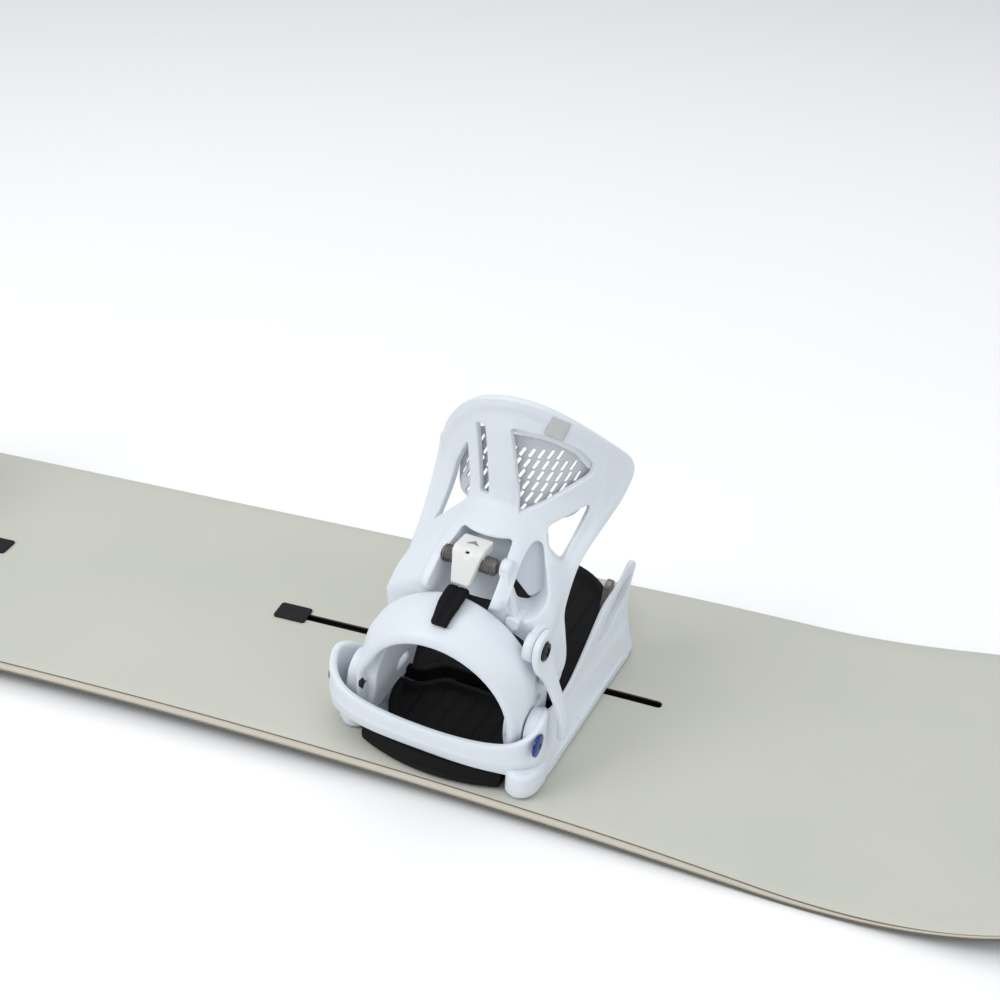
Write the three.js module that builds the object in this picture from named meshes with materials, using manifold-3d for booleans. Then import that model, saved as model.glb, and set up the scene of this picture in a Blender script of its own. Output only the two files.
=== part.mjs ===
// Snowboard with two step-in bindings. Millimetres, +Z up.
// +X runs along the board, +Y points to the toe edge, and the origin lies on the floor under the middle.
import * as THREE from "three";
import { mergeVertices } from "three/addons/utils/BufferGeometryUtils.js";
import Module from "manifold-3d";

const wasm = await Module();
wasm.setup();

// ---- driving dimensions -------------------------------------------------

// board
const HALF_LENGTH = 780;
const HALF_WAIST = 127.9;
const SIDECUT_RADIUS = 8190;
const TIP_POWER = 12; // how late the outline closes into its rounded tips
const CAMBER = 14.5;
const CAMBER_REACH = 600;
const KICK_START = 520; // where nose and tail begin to rise
const KICK_RATE = 0.00096;
const FLOOR_LIFT = 3.13; // brings the lowest point of the base down to the floor
const TIP_THICKNESS = 4.6;
const EXTRA_THICKNESS = 5.2; // added between the feet
const TAPER_START = 400;
const TAPER_END = 660;
const SHEET = 1.2; // sintered base
const TOPSHEET = 0.8;
const EDGE_SIZE = 2; // steel edge, square
const SIDEWALL = 6;
const FIT_GAP = 0.3;

// channels
const CHANNEL_INNER = 137; // inner end of the slot, from the board's middle
const CHANNEL_OUTER = 427;
const SLOT_WIDTH = 7;
const CAVITY_WIDTH = 13.5;
const CAVITY_TOP = 2.2;
const CAVITY_BOTTOM = 6.4;
const RAIL_WIDTH = 22;
const RAIL_DEPTH = 7.4;
const COVER_LENGTH = 26;
const COVER_WIDTH = 18;

// binding placement
const BINDING_X = 305;
const TOE_OUT = THREE.MathUtils.degToRad(7);
const SOLE_GAP = 0.4; // base above the topsheet at the binding's centre

// highback
const WRAP_RADIUS = 73;
const HIGHBACK_WALL = 5;
const HIGHBACK_TOP = 246;

// hinge and pivot points of a binding, in its own frame (y, z)
const HIGHBACK_PIVOT = { y: -60, z: 60 };
const LEVER_PIVOT = { y: -85, z: 98 };
const HOOP_BOLT = { y: -105, z: 43 };
const BARREL = { y: -68, z: 138 };
const BARREL_RADIUS = 6;

// ---- small tools ----------------------------------------------------------

function solid(geometry) {
  const bare = geometry.clone();
  bare.deleteAttribute("normal");
  bare.deleteAttribute("uv");
  const merged = mergeVertices(bare, 1e-4);
  return new wasm.Manifold(
    new wasm.Mesh({
      numProp: 3,
      vertProperties: merged.attributes.position.array,
      triVerts: new Uint32Array(merged.index.array),
    }),
  );
}

function geometryOf(manifold) {
  const mesh = manifold.getMesh();
  const geometry = new THREE.BufferGeometry();
  geometry.setAttribute("position", new THREE.BufferAttribute(mesh.vertProperties, 3));
  geometry.setIndex(new THREE.BufferAttribute(mesh.triVerts, 1));
  const loose = geometry.toNonIndexed();
  loose.computeVertexNormals();
  return loose;
}

// A closed body from rings of corner points: each ring is one cross-section, capped at both ends.
function loft(rings, closed = false) {
  const corners = rings[0].length;
  const points = rings.flat();
  const index = [];
  const last = closed ? rings.length : rings.length - 1;
  for (let i = 0; i < last; i++) {
    const here = i * corners;
    const next = ((i + 1) % rings.length) * corners;
    for (let k = 0; k < corners; k++) {
      const side = (k + 1) % corners;
      index.push(here + k, here + side, next + side);
      index.push(here + k, next + side, next + k);
    }
  }
  if (!closed) {
    const end = (rings.length - 1) * corners;
    for (let k = 1; k < corners - 1; k++) {
      index.push(0, k + 1, k);
      index.push(end, end + k, end + k + 1);
    }
  }
  return closedBody(points, index);
}

// An outline in (y, z), carried along x from one side to the other.
function slabX(points, x0, x1) {
  return prism(points, (a, b, far) => [far ? x1 : x0, a, b]);
}

// An outline in (x, y), carried up from z0 to z1.
function slabZ(points, z0, z1) {
  return prism(points, (a, b, far) => [a, b, far ? z1 : z0]);
}

// An outline in (x, z), carried along y from y0 to y1.
function slabY(points, y0, y1) {
  return prism(points, (a, b, far) => [a, far ? y1 : y0, b]);
}

// A flat outline carried from a near face to a far face, wherever the given placing puts them.
function prism(points, place) {
  const flat = points.map(([a, b]) => new THREE.Vector2(a, b));
  if (THREE.ShapeUtils.isClockWise(flat)) flat.reverse();
  const count = flat.length;
  const corners = [false, true].flatMap((far) => flat.map((p) => place(p.x, p.y, far)));
  const index = [];
  for (const [a, b, c] of THREE.ShapeUtils.triangulateShape(flat, [])) {
    index.push(a, c, b);
    index.push(count + a, count + b, count + c);
  }
  for (let k = 0; k < count; k++) {
    const next = (k + 1) % count;
    index.push(k, next, count + next);
    index.push(k, count + next, count + k);
  }
  return closedBody(corners, index);
}

// Makes a body of corner points and triangles, with its faces turned outwards.
function closedBody(points, index) {
  const geometry = new THREE.BufferGeometry();
  geometry.setAttribute("position", new THREE.Float32BufferAttribute(points.flat(), 3));
  geometry.setIndex(index);
  const body = solid(geometry);
  if (body.volume() > 0) return body;
  geometry.setIndex(index.toReversed());
  return solid(geometry);
}

function box(x0, x1, y0, y1, z0, z1) {
  const geometry = new THREE.BoxGeometry(x1 - x0, y1 - y0, z1 - z0);
  geometry.translate((x0 + x1) / 2, (y0 + y1) / 2, (z0 + z1) / 2);
  return solid(geometry);
}

// A round bar along x.
function rodX(radius, x0, x1, y, z, sides = 24) {
  const geometry = new THREE.CylinderGeometry(radius, radius, x1 - x0, sides);
  geometry.rotateZ(Math.PI / 2);
  geometry.translate((x0 + x1) / 2, y, z);
  return solid(geometry);
}

// A round bar along z.
function rodZ(radius, z0, z1, x, y, sides = 24) {
  const geometry = new THREE.CylinderGeometry(radius, radius, z1 - z0, sides);
  geometry.rotateX(Math.PI / 2);
  geometry.translate(x, y, (z0 + z1) / 2);
  return solid(geometry);
}

function mirrorPoints(points) {
  return points.map(([a, b]) => [-a, b]).reverse();
}

// Straight-line reading between (position, value) pairs.
function reading(pairs, at) {
  if (at <= pairs[0][0]) return pairs[0][1];
  for (let i = 1; i < pairs.length; i++) {
    const [a, low] = pairs[i - 1];
    const [b, high] = pairs[i];
    if (at <= b) return low + ((high - low) * (at - a)) / (b - a);
  }
  return pairs.at(-1)[1];
}

function piece(name, body, color, roughness, metalness = 0) {
  const material = new THREE.MeshStandardMaterial({ color, roughness, metalness });
  const mesh = new THREE.Mesh(body.isBufferGeometry ? body : geometryOf(body), material);
  mesh.name = name;
  return mesh;
}

const WHITE = 0xdde3e8;
const BLOCK_WHITE = 0xe8e6e3;
const BLACK = 0x17181a;
const STEEL = 0x6f6d68;
const SILVER = 0xb9b8b6;
const BLUE = 0x16286e;

// ---- board ------------------------------------------------------------------

function halfWidth(x, inset = 0) {
  const reach = HALF_LENGTH - inset;
  const t = Math.min(1, Math.abs(x) / reach);
  const cut = HALF_WAIST + (x * x) / (2 * SIDECUT_RADIUS);
  return Math.max(0, cut * Math.sqrt(1 - t ** TIP_POWER) - inset);
}

function baseHeight(x) {
  const kick = Math.max(0, Math.abs(x) - KICK_START);
  return CAMBER * (1 - (x / CAMBER_REACH) ** 2) + KICK_RATE * kick * kick - FLOOR_LIFT;
}

function thickness(x) {
  const t = THREE.MathUtils.smoothstep(Math.abs(x), TAPER_START, TAPER_END);
  return TIP_THICKNESS + EXTRA_THICKNESS * (1 - t);
}

function topHeight(x) {
  return baseHeight(x) + thickness(x);
}

// Stations along the board, closer together towards the tips.
function stations(inset, count = 48) {
  const reach = HALF_LENGTH - inset - 0.6;
  return Array.from({ length: count + 1 }, (_, i) => reach * Math.sin(Math.PI * (i / count - 0.5)));
}

// A layer across the full width, between two heights that depend on x.
function layer(inset, low, high) {
  return loft(
    stations(inset).map((x) => {
      const w = halfWidth(x, inset);
      return [
        [x, -w, low(x)],
        [x, w, low(x)],
        [x, w, high(x)],
        [x, -w, high(x)],
      ];
    }),
  );
}

// A ring that follows the board's outline, from its outer face in to the given width.
function rim(outset, width, low, high) {
  const loop = stations(outset, 48);
  const right = loop.map((x) => [x, halfWidth(x, outset)]);
  const left = loop.toReversed().map((x) => [x, -halfWidth(x, outset)]);
  const path = [...right, ...left];
  return loft(
    path.map(([x, y], i) => {
      const [ax, ay] = path.at(i - 1);
      const [bx, by] = path[(i + 1) % path.length];
      const length = Math.hypot(bx - ax, by - ay);
      const nx = ((by - ay) / length) * width;
      const ny = (-(bx - ax) / length) * width;
      return [
        [x, y, low(x)],
        [x, y, high(x)],
        [x + nx, y + ny, high(x + nx)],
        [x + nx, y + ny, low(x + nx)],
      ];
    }),
    true,
  );
}

// A straight strip that follows the board's curve, between two depths under the top face.
function strip(x0, x1, halfY, depthLow, depthHigh) {
  const rings = [];
  const steps = 12;
  for (let i = 0; i <= steps; i++) {
    const x = x0 + ((x1 - x0) * i) / steps;
    rings.push([
      [x, -halfY, topHeight(x) - depthLow],
      [x, halfY, topHeight(x) - depthLow],
      [x, halfY, topHeight(x) - depthHigh],
      [x, -halfY, topHeight(x) - depthHigh],
    ]);
  }
  return loft(rings);
}

// The slot's outline seen from above, with round ends.
function slotOutline() {
  const r = SLOT_WIDTH / 2;
  const points = [];
  for (let i = 0; i <= 8; i++) {
    const a = -Math.PI / 2 + (Math.PI * i) / 8;
    points.push([CHANNEL_OUTER - r + r * Math.cos(a), r * Math.sin(a)]);
  }
  for (let i = 0; i <= 8; i++) {
    const a = Math.PI / 2 + (Math.PI * i) / 8;
    points.push([CHANNEL_INNER + r + r * Math.cos(a), r * Math.sin(a)]);
  }
  return points;
}

const slotRight = slabZ(slotOutline(), -5, 60);
const slotLeft = slabZ(mirrorPoints(slotOutline()), -5, 60);
const END_WALL = 5;

function channelRail() {
  const start = CHANNEL_INNER - END_WALL;
  const end = CHANNEL_OUTER + END_WALL;
  const bar = strip(start, end, RAIL_WIDTH / 2, RAIL_DEPTH, TOPSHEET + FIT_GAP);
  const cavity = strip(CHANNEL_INNER, CHANNEL_OUTER, CAVITY_WIDTH / 2, CAVITY_BOTTOM, CAVITY_TOP);
  const slot = slotRight.subtract(strip(start, end, RAIL_WIDTH, 30, CAVITY_TOP + 0.5));
  return bar.subtract(cavity).subtract(slot);
}

// The pocket that the core keeps for a channel rail, right through it.
function railPocket(side) {
  const half = RAIL_WIDTH / 2 + FIT_GAP;
  const a = side * (CHANNEL_INNER - END_WALL - FIT_GAP);
  const b = side * (CHANNEL_OUTER + END_WALL + FIT_GAP);
  return box(Math.min(a, b), Math.max(a, b), -half, half, -5, 60);
}

function coverPlate() {
  const x1 = CHANNEL_INNER + 10;
  const x0 = x1 - COVER_LENGTH;
  const rings = [];
  for (let i = 0; i <= 6; i++) {
    const x = x0 + ((x1 - x0) * i) / 6;
    const z = topHeight(x) + 0.15;
    const half = COVER_WIDTH / 2 - (i === 0 || i === 6 ? 2 : 0);
    rings.push([
      [x, -half, z],
      [x, half, z],
      [x, half - 0.6, z + 1.6],
      [x, -half + 0.6, z + 1.6],
    ]);
  }
  return loft(rings);
}

function board() {
  const group = new THREE.Group();
  const base = layer(EDGE_SIZE + FIT_GAP, baseHeight, (x) => baseHeight(x) + SHEET);
  const edge = rim(0, EDGE_SIZE, (x) => baseHeight(x) + 0.05, (x) => baseHeight(x) + EDGE_SIZE);
  const sidewall = rim(
    0.2,
    SIDEWALL,
    (x) => baseHeight(x) + EDGE_SIZE + 0.05 + FIT_GAP,
    (x) => topHeight(x) - TOPSHEET - FIT_GAP,
  );
  const core = layer(
    SIDEWALL + 0.8,
    (x) => baseHeight(x) + SHEET + FIT_GAP,
    (x) => topHeight(x) - TOPSHEET - FIT_GAP,
  )
    .subtract(railPocket(1))
    .subtract(railPocket(-1));
  const topsheet = layer(0.4, (x) => topHeight(x) - TOPSHEET, topHeight)
    .subtract(slotRight)
    .subtract(slotLeft);
  group.add(
    piece("base_sheet", base, 0x2a2b2c, 0.4),
    piece("steel_edge", edge, STEEL, 0.4, 0.9),
    piece("sidewall", sidewall, 0xd3ccbd, 0.5),
    piece("wood_core", core, 0xc7a779, 0.7),
    piece("topsheet", topsheet, 0xc9ccc3, 0.5),
  );
  return group;
}

function channel() {
  const group = new THREE.Group();
  group.add(
    piece("channel_rail", channelRail(), 0x3c3d3e, 0.4, 0.4),
    piece("channel_cover", coverPlate(), BLACK, 0.5),
  );
  return group;
}

// ---- binding: base, heel ring and heel arch ----------------------------------

const FLOOR_TOP = 8;
const DISC_RADIUS = 40;
const WALL_IN = 62;
const WALL_OUT = 67;

function baseFloor() {
  const half = [
    [0, -98],
    [52, -98],
    [57, -122],
    [70, -122],
    [76, -112],
    [78, -60],
    [80, 40],
    [80, 62],
    [74, 68],
    [60, 76],
    [52, 92],
    [38, 106],
    [22, 115],
    [0, 119],
  ];
  const left = half.slice(1, -1).map(([x, y]) => [-x, y]);
  return slabZ([...half, ...left.reverse()], 0, FLOOR_TOP);
}

// The side wall seen from the side, with its toe ear.
const WALL_SIDE = [
  [-110, FLOOR_TOP - 1],
  [-110, 50],
  [-104, 58],
  [-90, 58],
  [-78, 44],
  [-62, 30],
  [-30, 25],
  [-4, 38],
  [28, 56],
  [64, 77],
  [70, 76],
  [66, 64],
  [58, 48],
  [58, 20],
  [62, FLOOR_TOP - 1],
];
const EAR_SLOT = [
  [20, 37],
  [26, 34],
  [56, 52],
  [61, 63],
  [56, 62],
];
const RAIL_SECTION = [
  [WALL_IN, FLOOR_TOP - 1],
  [78.5, FLOOR_TOP - 1],
  [70, 21],
  [WALL_IN, 24],
];

function baseplate() {
  let body = baseFloor();
  for (const side of [1, -1]) {
    const x0 = Math.min(side * WALL_IN, side * WALL_OUT);
    const x1 = Math.max(side * WALL_IN, side * WALL_OUT);
    const section = side > 0 ? RAIL_SECTION : mirrorPoints(RAIL_SECTION);
    body = body
      .add(slabX(WALL_SIDE, x0, x1))
      .add(slabY(section, -83, 62))
      .subtract(slabX(EAR_SLOT, x0 - 8, x1 + 8));
  }
  const hole = rodZ(DISC_RADIUS + 0.8, -5, 30, 0, 0, 28);
  const ledge = rodZ(DISC_RADIUS + 4.8, 4.6, 30, 0, 0, 28);
  return body
    .subtract(hole)
    .subtract(ledge)
    .subtract(rodX(4.4, -90, 90, HOOP_BOLT.y, HOOP_BOLT.z))
    .subtract(hookPocket(1))
    .subtract(hookPocket(-1));
}

// Where a toe hook's pin passes through the wall.
const HOOK_PIN = { y: 44, z: 30 };
function hookPocket(side) {
  return rodX(2.9, side > 0 ? 60 : -80, side > 0 ? 80 : -60, HOOK_PIN.y, HOOK_PIN.z, 16);
}

// Half the heel ring's plan, from the front end round to the middle of the rear.
function ringPlan(t) {
  const straight = 0.22;
  if (t < straight) return [79, -92 - (8 * t) / straight];
  const a = ((t - straight) / (1 - straight)) * (Math.PI / 2);
  return [79 * Math.cos(a) ** 0.72, -100 - 28 * Math.sin(a) ** 0.9];
}

const RING_WALL = 5.5;
function heelRing() {
  const count = 30;
  const rings = [];
  const plan = (t) => {
    const side = t < 0 ? -1 : 1;
    const [x, y] = ringPlan(1 - Math.abs(t));
    return [side * x, y];
  };
  for (let i = 0; i <= count; i++) {
    const t = -1 + (2 * i) / count;
    const [x, y] = plan(t);
    const [ax, ay] = plan(Math.max(-1, t - 0.02));
    const [bx, by] = plan(Math.min(1, t + 0.02));
    const length = Math.hypot(bx - ax, by - ay);
    const nx = (-(by - ay) / length) * RING_WALL;
    const ny = ((bx - ax) / length) * RING_WALL;
    const high = reading([[0, 36], [0.35, 39], [0.6, 48], [0.8, 59], [1, 62]], Math.abs(t));
    const low = reading([[0, 15], [0.5, 17], [0.8, 24], [1, 30]], Math.abs(t));
    rings.push([
      [x, y, low],
      [x, y, high],
      [x + nx, y + ny, high],
      [x + nx, y + ny, low],
    ]);
  }
  return loft(rings).subtract(rodX(4.4, -90, 90, HOOP_BOLT.y, HOOP_BOLT.z));
}

// The arch over the heel: two legs joined by a dome that slopes down to its rear lip.
const LEG_FOOT = 12;
function heelArch() {
  const rings = [];
  const curve = 22;
  const ring = (cos, sin) => [
    [61.2 * cos, -88 + 5 * sin, 52 + 68 * sin],
    [57.5 * cos, -110 - 9 * sin, 48 + 58 * sin],
    [50.5 * cos, -109 - 9 * sin, 46 + 52 * sin],
    [55.5 * cos, -88 + 5 * sin, 48 + 65 * sin],
  ];
  const foot = (cos) => ring(cos, 0).map(([x, y]) => [x, y, LEG_FOOT]);
  rings.push(foot(1));
  for (let i = 0; i <= curve; i++) {
    const a = (Math.PI * i) / curve;
    rings.push(ring(Math.cos(a), Math.sin(a)));
  }
  rings.push(foot(-1));
  let body = loft(rings);
  for (const side of [1, -1]) {
    const plate = side > 0 ? [50, 61.7] : [-61.7, -50];
    const tab = side > 0 ? [46.5, 54] : [-54, -46.5];
    const leg = [
      [-110, LEG_FOOT],
      [-110, 58],
      [-88, 60],
      [-84, LEG_FOOT],
    ];
    const reach = [
      [-92, 46],
      [-92, 66],
      [-66, 73],
      [-52, 68],
      [-48, 58],
      [-56, 48],
    ];
    body = body.add(slabX(leg, ...plate)).add(slabX(reach, ...tab));
    const behind = reach.map(([y, z]) => [Math.min(y, -80), z]);
    const joint = side > 0 ? [46.5, 61] : [-61, -46.5];
    const through = side > 0 ? [40, 70] : [-70, -40];
    body = body.add(slabX(behind, ...joint));
    body = body.subtract(rodX(3.8, ...through, HIGHBACK_PIVOT.y, HIGHBACK_PIVOT.z));
  }
  return body.subtract(rodX(4.4, -90, 90, HOOP_BOLT.y, HOOP_BOLT.z));
}

// Rubber block under the rear of the ring.
function heelBumper() {
  const rings = [];
  const count = 12;
  for (let i = 0; i <= count; i++) {
    const x = -50 + (100 * i) / count;
    const bow = 1 - (x / 56) ** 2;
    rings.push([
      [x, -118 - 12 * bow, 0.6],
      [x, -98.6, 0.6],
      [x, -98.6, 8],
      [x, -114.5, 8],
      [x, -115, 13.5],
      [x, -117 - 12 * bow, 13.5],
    ]);
  }
  return loft(rings);
}

// Heel and front pads: the step between them runs as an S across the base.
const PAD_LOW = FLOOR_TOP + FIT_GAP;
const SEAM = [
  [-54, -62],
  [-36, -62],
  [-24, -48],
  [10, -46],
  [54, -46],
];
function heelPad() {
  const rear = [
    [49, -82],
    [45, -97],
    [30, -110],
    [0, -113],
    [-30, -110],
    [-45, -97],
    [-49, -82],
  ];
  const front = SEAM.map(([x, y]) => [x, y - 3]);
  return slabZ([...front, ...rear], PAD_LOW + 0.2, PAD_LOW + 6);
}

function frontPad() {
  const toe = [
    [60, -40],
    [61, 56],
    [54, 86],
    [40, 104],
    [23, 117],
    [0, 124],
    [-23, 117],
    [-40, 104],
    [-54, 86],
    [-61, 56],
    [-60, -40],
  ];
  return slabZ([...toe, ...SEAM], PAD_LOW + 0.2, PAD_LOW + 10);
}

function mountingDisc() {
  const profile = [
    [0, 0.4],
    [DISC_RADIUS, 0.4],
    [DISC_RADIUS, 4.9],
    [DISC_RADIUS + 4, 4.9],
    [DISC_RADIUS + 4, 7.4],
    [0, 7.4],
  ];
  const geometry = new THREE.LatheGeometry(profile.map(([r, z]) => new THREE.Vector2(r, z)), 28);
  geometry.rotateX(Math.PI / 2);
  let body = solid(geometry);
  for (const x of [-SCREW_SPREAD, SCREW_SPREAD]) {
    body = body.subtract(rodZ(3.3, -5, 30, x, 0)).subtract(rodZ(6.6, 4.2, 30, x, 0));
  }
  return body;
}

const SCREW_SPREAD = 20;
function discScrew(x) {
  return rodZ(6.2, 4.5, 7.2, x, 0).add(rodZ(2.9, -5.6, 5, x, 0)).subtract(rodZ(2.4, 5.4, 9, x, 0, 6));
}

// A plate that slides inside the channel and takes both screws.
function nutPlate() {
  let body = box(-27, 27, -6, 6, -6.4, -3);
  for (const x of [-SCREW_SPREAD, SCREW_SPREAD]) {
    body = body.subtract(rodZ(3.1, -9, 0, x, 0));
  }
  return body;
}

// ---- binding: highback -------------------------------------------------------

// The highback's outer face: how far its rear line stands back at each height, and how far it leans outwards.
function rearLine(z) {
  return reading(
    [[45, -95], [60, -94], [85, -86], [100, -76], [115, -62], [130, -49], [150, -36], [165, -31], [246, -36]],
    z,
  );
}

function sway(z) {
  return reading([[100, 0], [165, 5], [246, 3.5]], z);
}

// A point on the wrapped face: a runs round it, and depth is measured inwards.
function onWrap(a, z, depth) {
  const angle = a / WRAP_RADIUS;
  const r = WRAP_RADIUS - depth;
  return [sway(z) + r * Math.sin(angle), rearLine(z) + WRAP_RADIUS - r * Math.cos(angle), z];
}

// Splits the long sides of an outline, so that it bends with the wrap.
function finely(points, step) {
  const out = [];
  points.forEach(([a, b], i) => {
    const [c, d] = points[(i + 1) % points.length];
    const parts = Math.max(1, Math.ceil(Math.hypot(c - a, d - b) / step));
    for (let k = 0; k < parts; k++) {
      out.push([a + ((c - a) * k) / parts, b + ((d - b) * k) / parts]);
    }
  });
  return out;
}

// A body whose outline lies on the wrapped face, from one depth to another.
function wrapped(points, depthOut, depthIn, step = 16) {
  return prism(finely(points, step), (a, z, far) => onWrap(a, z, far ? depthIn : depthOut));
}

// The plain wrapped wall before its outline and windows are cut.
function wrappedWall(a0, a1, z0, z1, depthOut, depthIn, columns, rows) {
  const geometry = new THREE.BoxGeometry(a1 - a0, z1 - z0, 1, columns, rows, 1);
  const position = geometry.attributes.position;
  for (let i = 0; i < position.count; i++) {
    const a = position.getX(i) + (a0 + a1) / 2;
    const z = position.getY(i) + (z0 + z1) / 2;
    position.setXYZ(i, ...onWrap(a, z, position.getZ(i) > 0 ? depthOut : depthIn));
  }
  return closedBody(Array.from(position.array), Array.from(geometry.index.array));
}

// What is cut away outside the highback's outline, for one half.
const TRIM_HALF = [
  [
    [-2, HIGHBACK_TOP],
    [28, 242],
    [50, 229],
    [50, 262],
    [-2, 262],
  ],
  [
    [49, 230],
    [76, 206],
    [92, 188],
    [94, 176],
    [112, 176],
    [112, 262],
    [49, 262],
  ],
  [
    [94, 177],
    [84, 160],
    [78, 154],
    [65, 130],
    [68, 106],
    [80, 84],
    [84, 64],
    [78, 52],
    [78, 38],
    [112, 38],
    [112, 177],
  ],
  [
    [79, 52],
    [66, 52],
    [62, 66],
    [58, 78],
    [46, 82],
    [45, 86],
    [45, 38],
    [79, 38],
  ],
  [
    [46, 82],
    [40, 104],
    [20, 118],
    [-2, 120],
    [-2, 38],
    [46, 38],
  ],
];
const WINDOW_RIGHT = [
  [8, 220],
  [33, 216],
  [50, 206],
  [62, 190],
  [58, 184],
  [44, 177],
  [31, 169],
  [15, 161],
];
const WINDOW_LEFT = [
  [-10, 219],
  [-11, 164],
  [-18, 166],
  [-20, 217],
];
const OPENING_RIGHT = [
  [35, 152],
  [43, 157],
  [59, 165],
  [61, 160],
  [53, 131],
  [44, 135],
  [36, 144],
];
const OPENING_LEFT = [
  [-30, 200],
  [-46, 175],
  [-52, 131],
  [-42, 140],
  [-27, 158],
];

// The raised housing for the lean adjuster and the latch linkage, lofted from side to side.
function housing() {
  const rings = [];
  const half = 56;
  const count = 18;
  for (let i = 0; i <= count; i++) {
    const x = -half + (2 * half * i) / count;
    const t = Math.abs(x) / half;
    const low = 54.5 + 68 * Math.sqrt(1 - (x / 62) ** 2) + 2;
    const high = reading([[0, 163], [0.28, 160], [0.5, 150], [0.66, 134], [0.82, 112], [1, 98]], t);
    const a = Math.asin(Math.min(0.95, Math.abs(x) / WRAP_RADIUS)) * WRAP_RADIUS;
    const front = [0, 0.25, 0.5, 0.75, 1].map((part) => {
      const z = low + (high - low) * part;
      return [x, onWrap(a, z, 3)[1], z];
    });
    const crest = front.at(-1)[1];
    rings.push([
      [x, Math.min(crest - 6, -52 - 12 * t), high - 6],
      [x, -80, low + 1],
      ...front,
    ]);
  }
  return loft(rings);
}

function highback() {
  const wall = wrappedWall(-100, 100, 50, 250, 0, HIGHBACK_WALL, 13, 11);
  let body = wall;
  for (const part of TRIM_HALF) {
    body = body.subtract(wrapped(part, -20, 30)).subtract(wrapped(mirrorPoints(part), -20, 30));
  }
  body = body.add(housing());
  for (const hole of [WINDOW_RIGHT, WINDOW_LEFT, OPENING_RIGHT, OPENING_LEFT]) {
    body = body.subtract(wrapped(hole, -16, 26));
  }
  for (const side of [1, -1]) {
    const boss = side > 0 ? [54.4, 66] : [-66, -54.4];
    const bore = side > 0 ? [40, 80] : [-80, -40];
    body = body
      .add(rodX(9, ...boss, HIGHBACK_PIVOT.y, HIGHBACK_PIVOT.z))
      .subtract(rodX(3.8, ...bore, HIGHBACK_PIVOT.y, HIGHBACK_PIVOT.z));
  }
  const inner = slabX(
    [
      [-96, 42],
      [-96, 60],
      [-88, 80],
      [-86, 66],
      [-66, 74.5],
      [-50, 70],
      [-46, 58],
      [-54, 42],
    ],
    -54.3,
    54.3,
  );
  body = body.subtract(inner);
  const bracket = [
    [-94, 96],
    [-88, 108],
    [-62, 104],
    [-56, 84],
    [-66, 80],
    [-90, 90],
  ];
  body = body.add(rodX(10, 52, 58.4, LEVER_PIVOT.y, LEVER_PIVOT.z)).add(slabX(bracket, 52.5, 58));
  return body
    .subtract(rodX(2.9, 40, 80, LEVER_PIVOT.y, LEVER_PIVOT.z))
    .subtract(adjusterRecess())
    .subtract(rodX(BARREL_RADIUS + FIT_GAP, -20.5, 20.5, BARREL.y, BARREL.z))
    .subtract(linkSlot());
}

function adjusterRecess() {
  return slabX(
    [
      [-44, 152],
      [-90, 168],
      [-100, 90],
      [-68, 106],
      [-54, 124],
    ],
    -16,
    16,
  );
}

// The pocket for the latch link on the outer shoulder.
function linkSlot() {
  return slabX(
    [
      [-58, 156],
      [-100, 156],
      [-100, 92],
      [-62, 96],
      [-57, 124],
    ],
    21.6,
    44.5,
  );
}

// The grey panel rests on the inside of the highback, behind its windows.
const PANEL_CORNER = [
  [48, 222],
  [66, 200],
  [72, 230],
];
function meshPanel() {
  const wall = wrappedWall(-54, 64, 152, 214, HIGHBACK_WALL + 0.4, HIGHBACK_WALL + 2.6, 9, 5);
  return wall.subtract(wrapped(PANEL_CORNER, -5, 20));
}

function labelPlate() {
  const plate = [
    [30, 222],
    [42, 219],
    [42, 233],
    [30, 237],
  ];
  return wrapped(plate, -1.2, -0.3, 6);
}

// ---- binding: adjuster, latch and levers ----------------------------------------

function leanBlock() {
  const side = [
    [-54, 143],
    [-54, 147.5],
    [-70, 149],
    [-76, 146],
    [-84.5, 127.5],
    [-80, 126],
    [-74, 131],
    [-60, 131],
  ];
  return slabX(side, -11, 11)
    .subtract(rodX(BARREL_RADIUS + 0.4, -20, 20, BARREL.y, BARREL.z));
}

function crossBarrel() {
  return rodX(BARREL_RADIUS, -19.8, 19.8, BARREL.y, BARREL.z, 28);
}

// The rubber tab lies on the arch's crown, below the block.
function rubberTab() {
  const rings = [
    [-84.5, 123, 8],
    [-96, 121.5, 8],
    [-108, 117.5, 7],
    [-112, 115, 6],
  ].map(([y, z, half]) => [
    [-half, y, z],
    [half, y, z],
    [half, y, z + 3],
    [-half, y, z + 3],
  ]);
  return loft(rings);
}

function releaseLever() {
  const rings = [
    [62, -85, 106, 6],
    [62, -83.5, 96, 10],
    [65, -82, 84, 7],
    [71, -81, 70, 5.4],
    [77.5, -82, 56, 5],
    [81.6, -84, 44, 4.6],
    [82.3, -85, 35, 3],
  ].map(([x, y, z, half]) => [
    [x - 2.2, y - half, z],
    [x + 2.2, y - half, z],
    [x + 2.2, y + half, z],
    [x - 2.2, y + half, z],
  ]);
  return loft(rings)
    .add(rodX(12, 58.8, 64.4, LEVER_PIVOT.y, LEVER_PIVOT.z, 32))
    .subtract(rodX(5.6, 61.6, 80, LEVER_PIVOT.y, LEVER_PIVOT.z))
    .subtract(rodX(3.2, 50, 80, LEVER_PIVOT.y, LEVER_PIVOT.z));
}

function leverScrew() {
  return rodX(5.2, 62, 64.8, LEVER_PIVOT.y, LEVER_PIVOT.z).add(
    rodX(2.6, 52.6, 62.2, LEVER_PIVOT.y, LEVER_PIVOT.z),
  );
}

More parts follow.
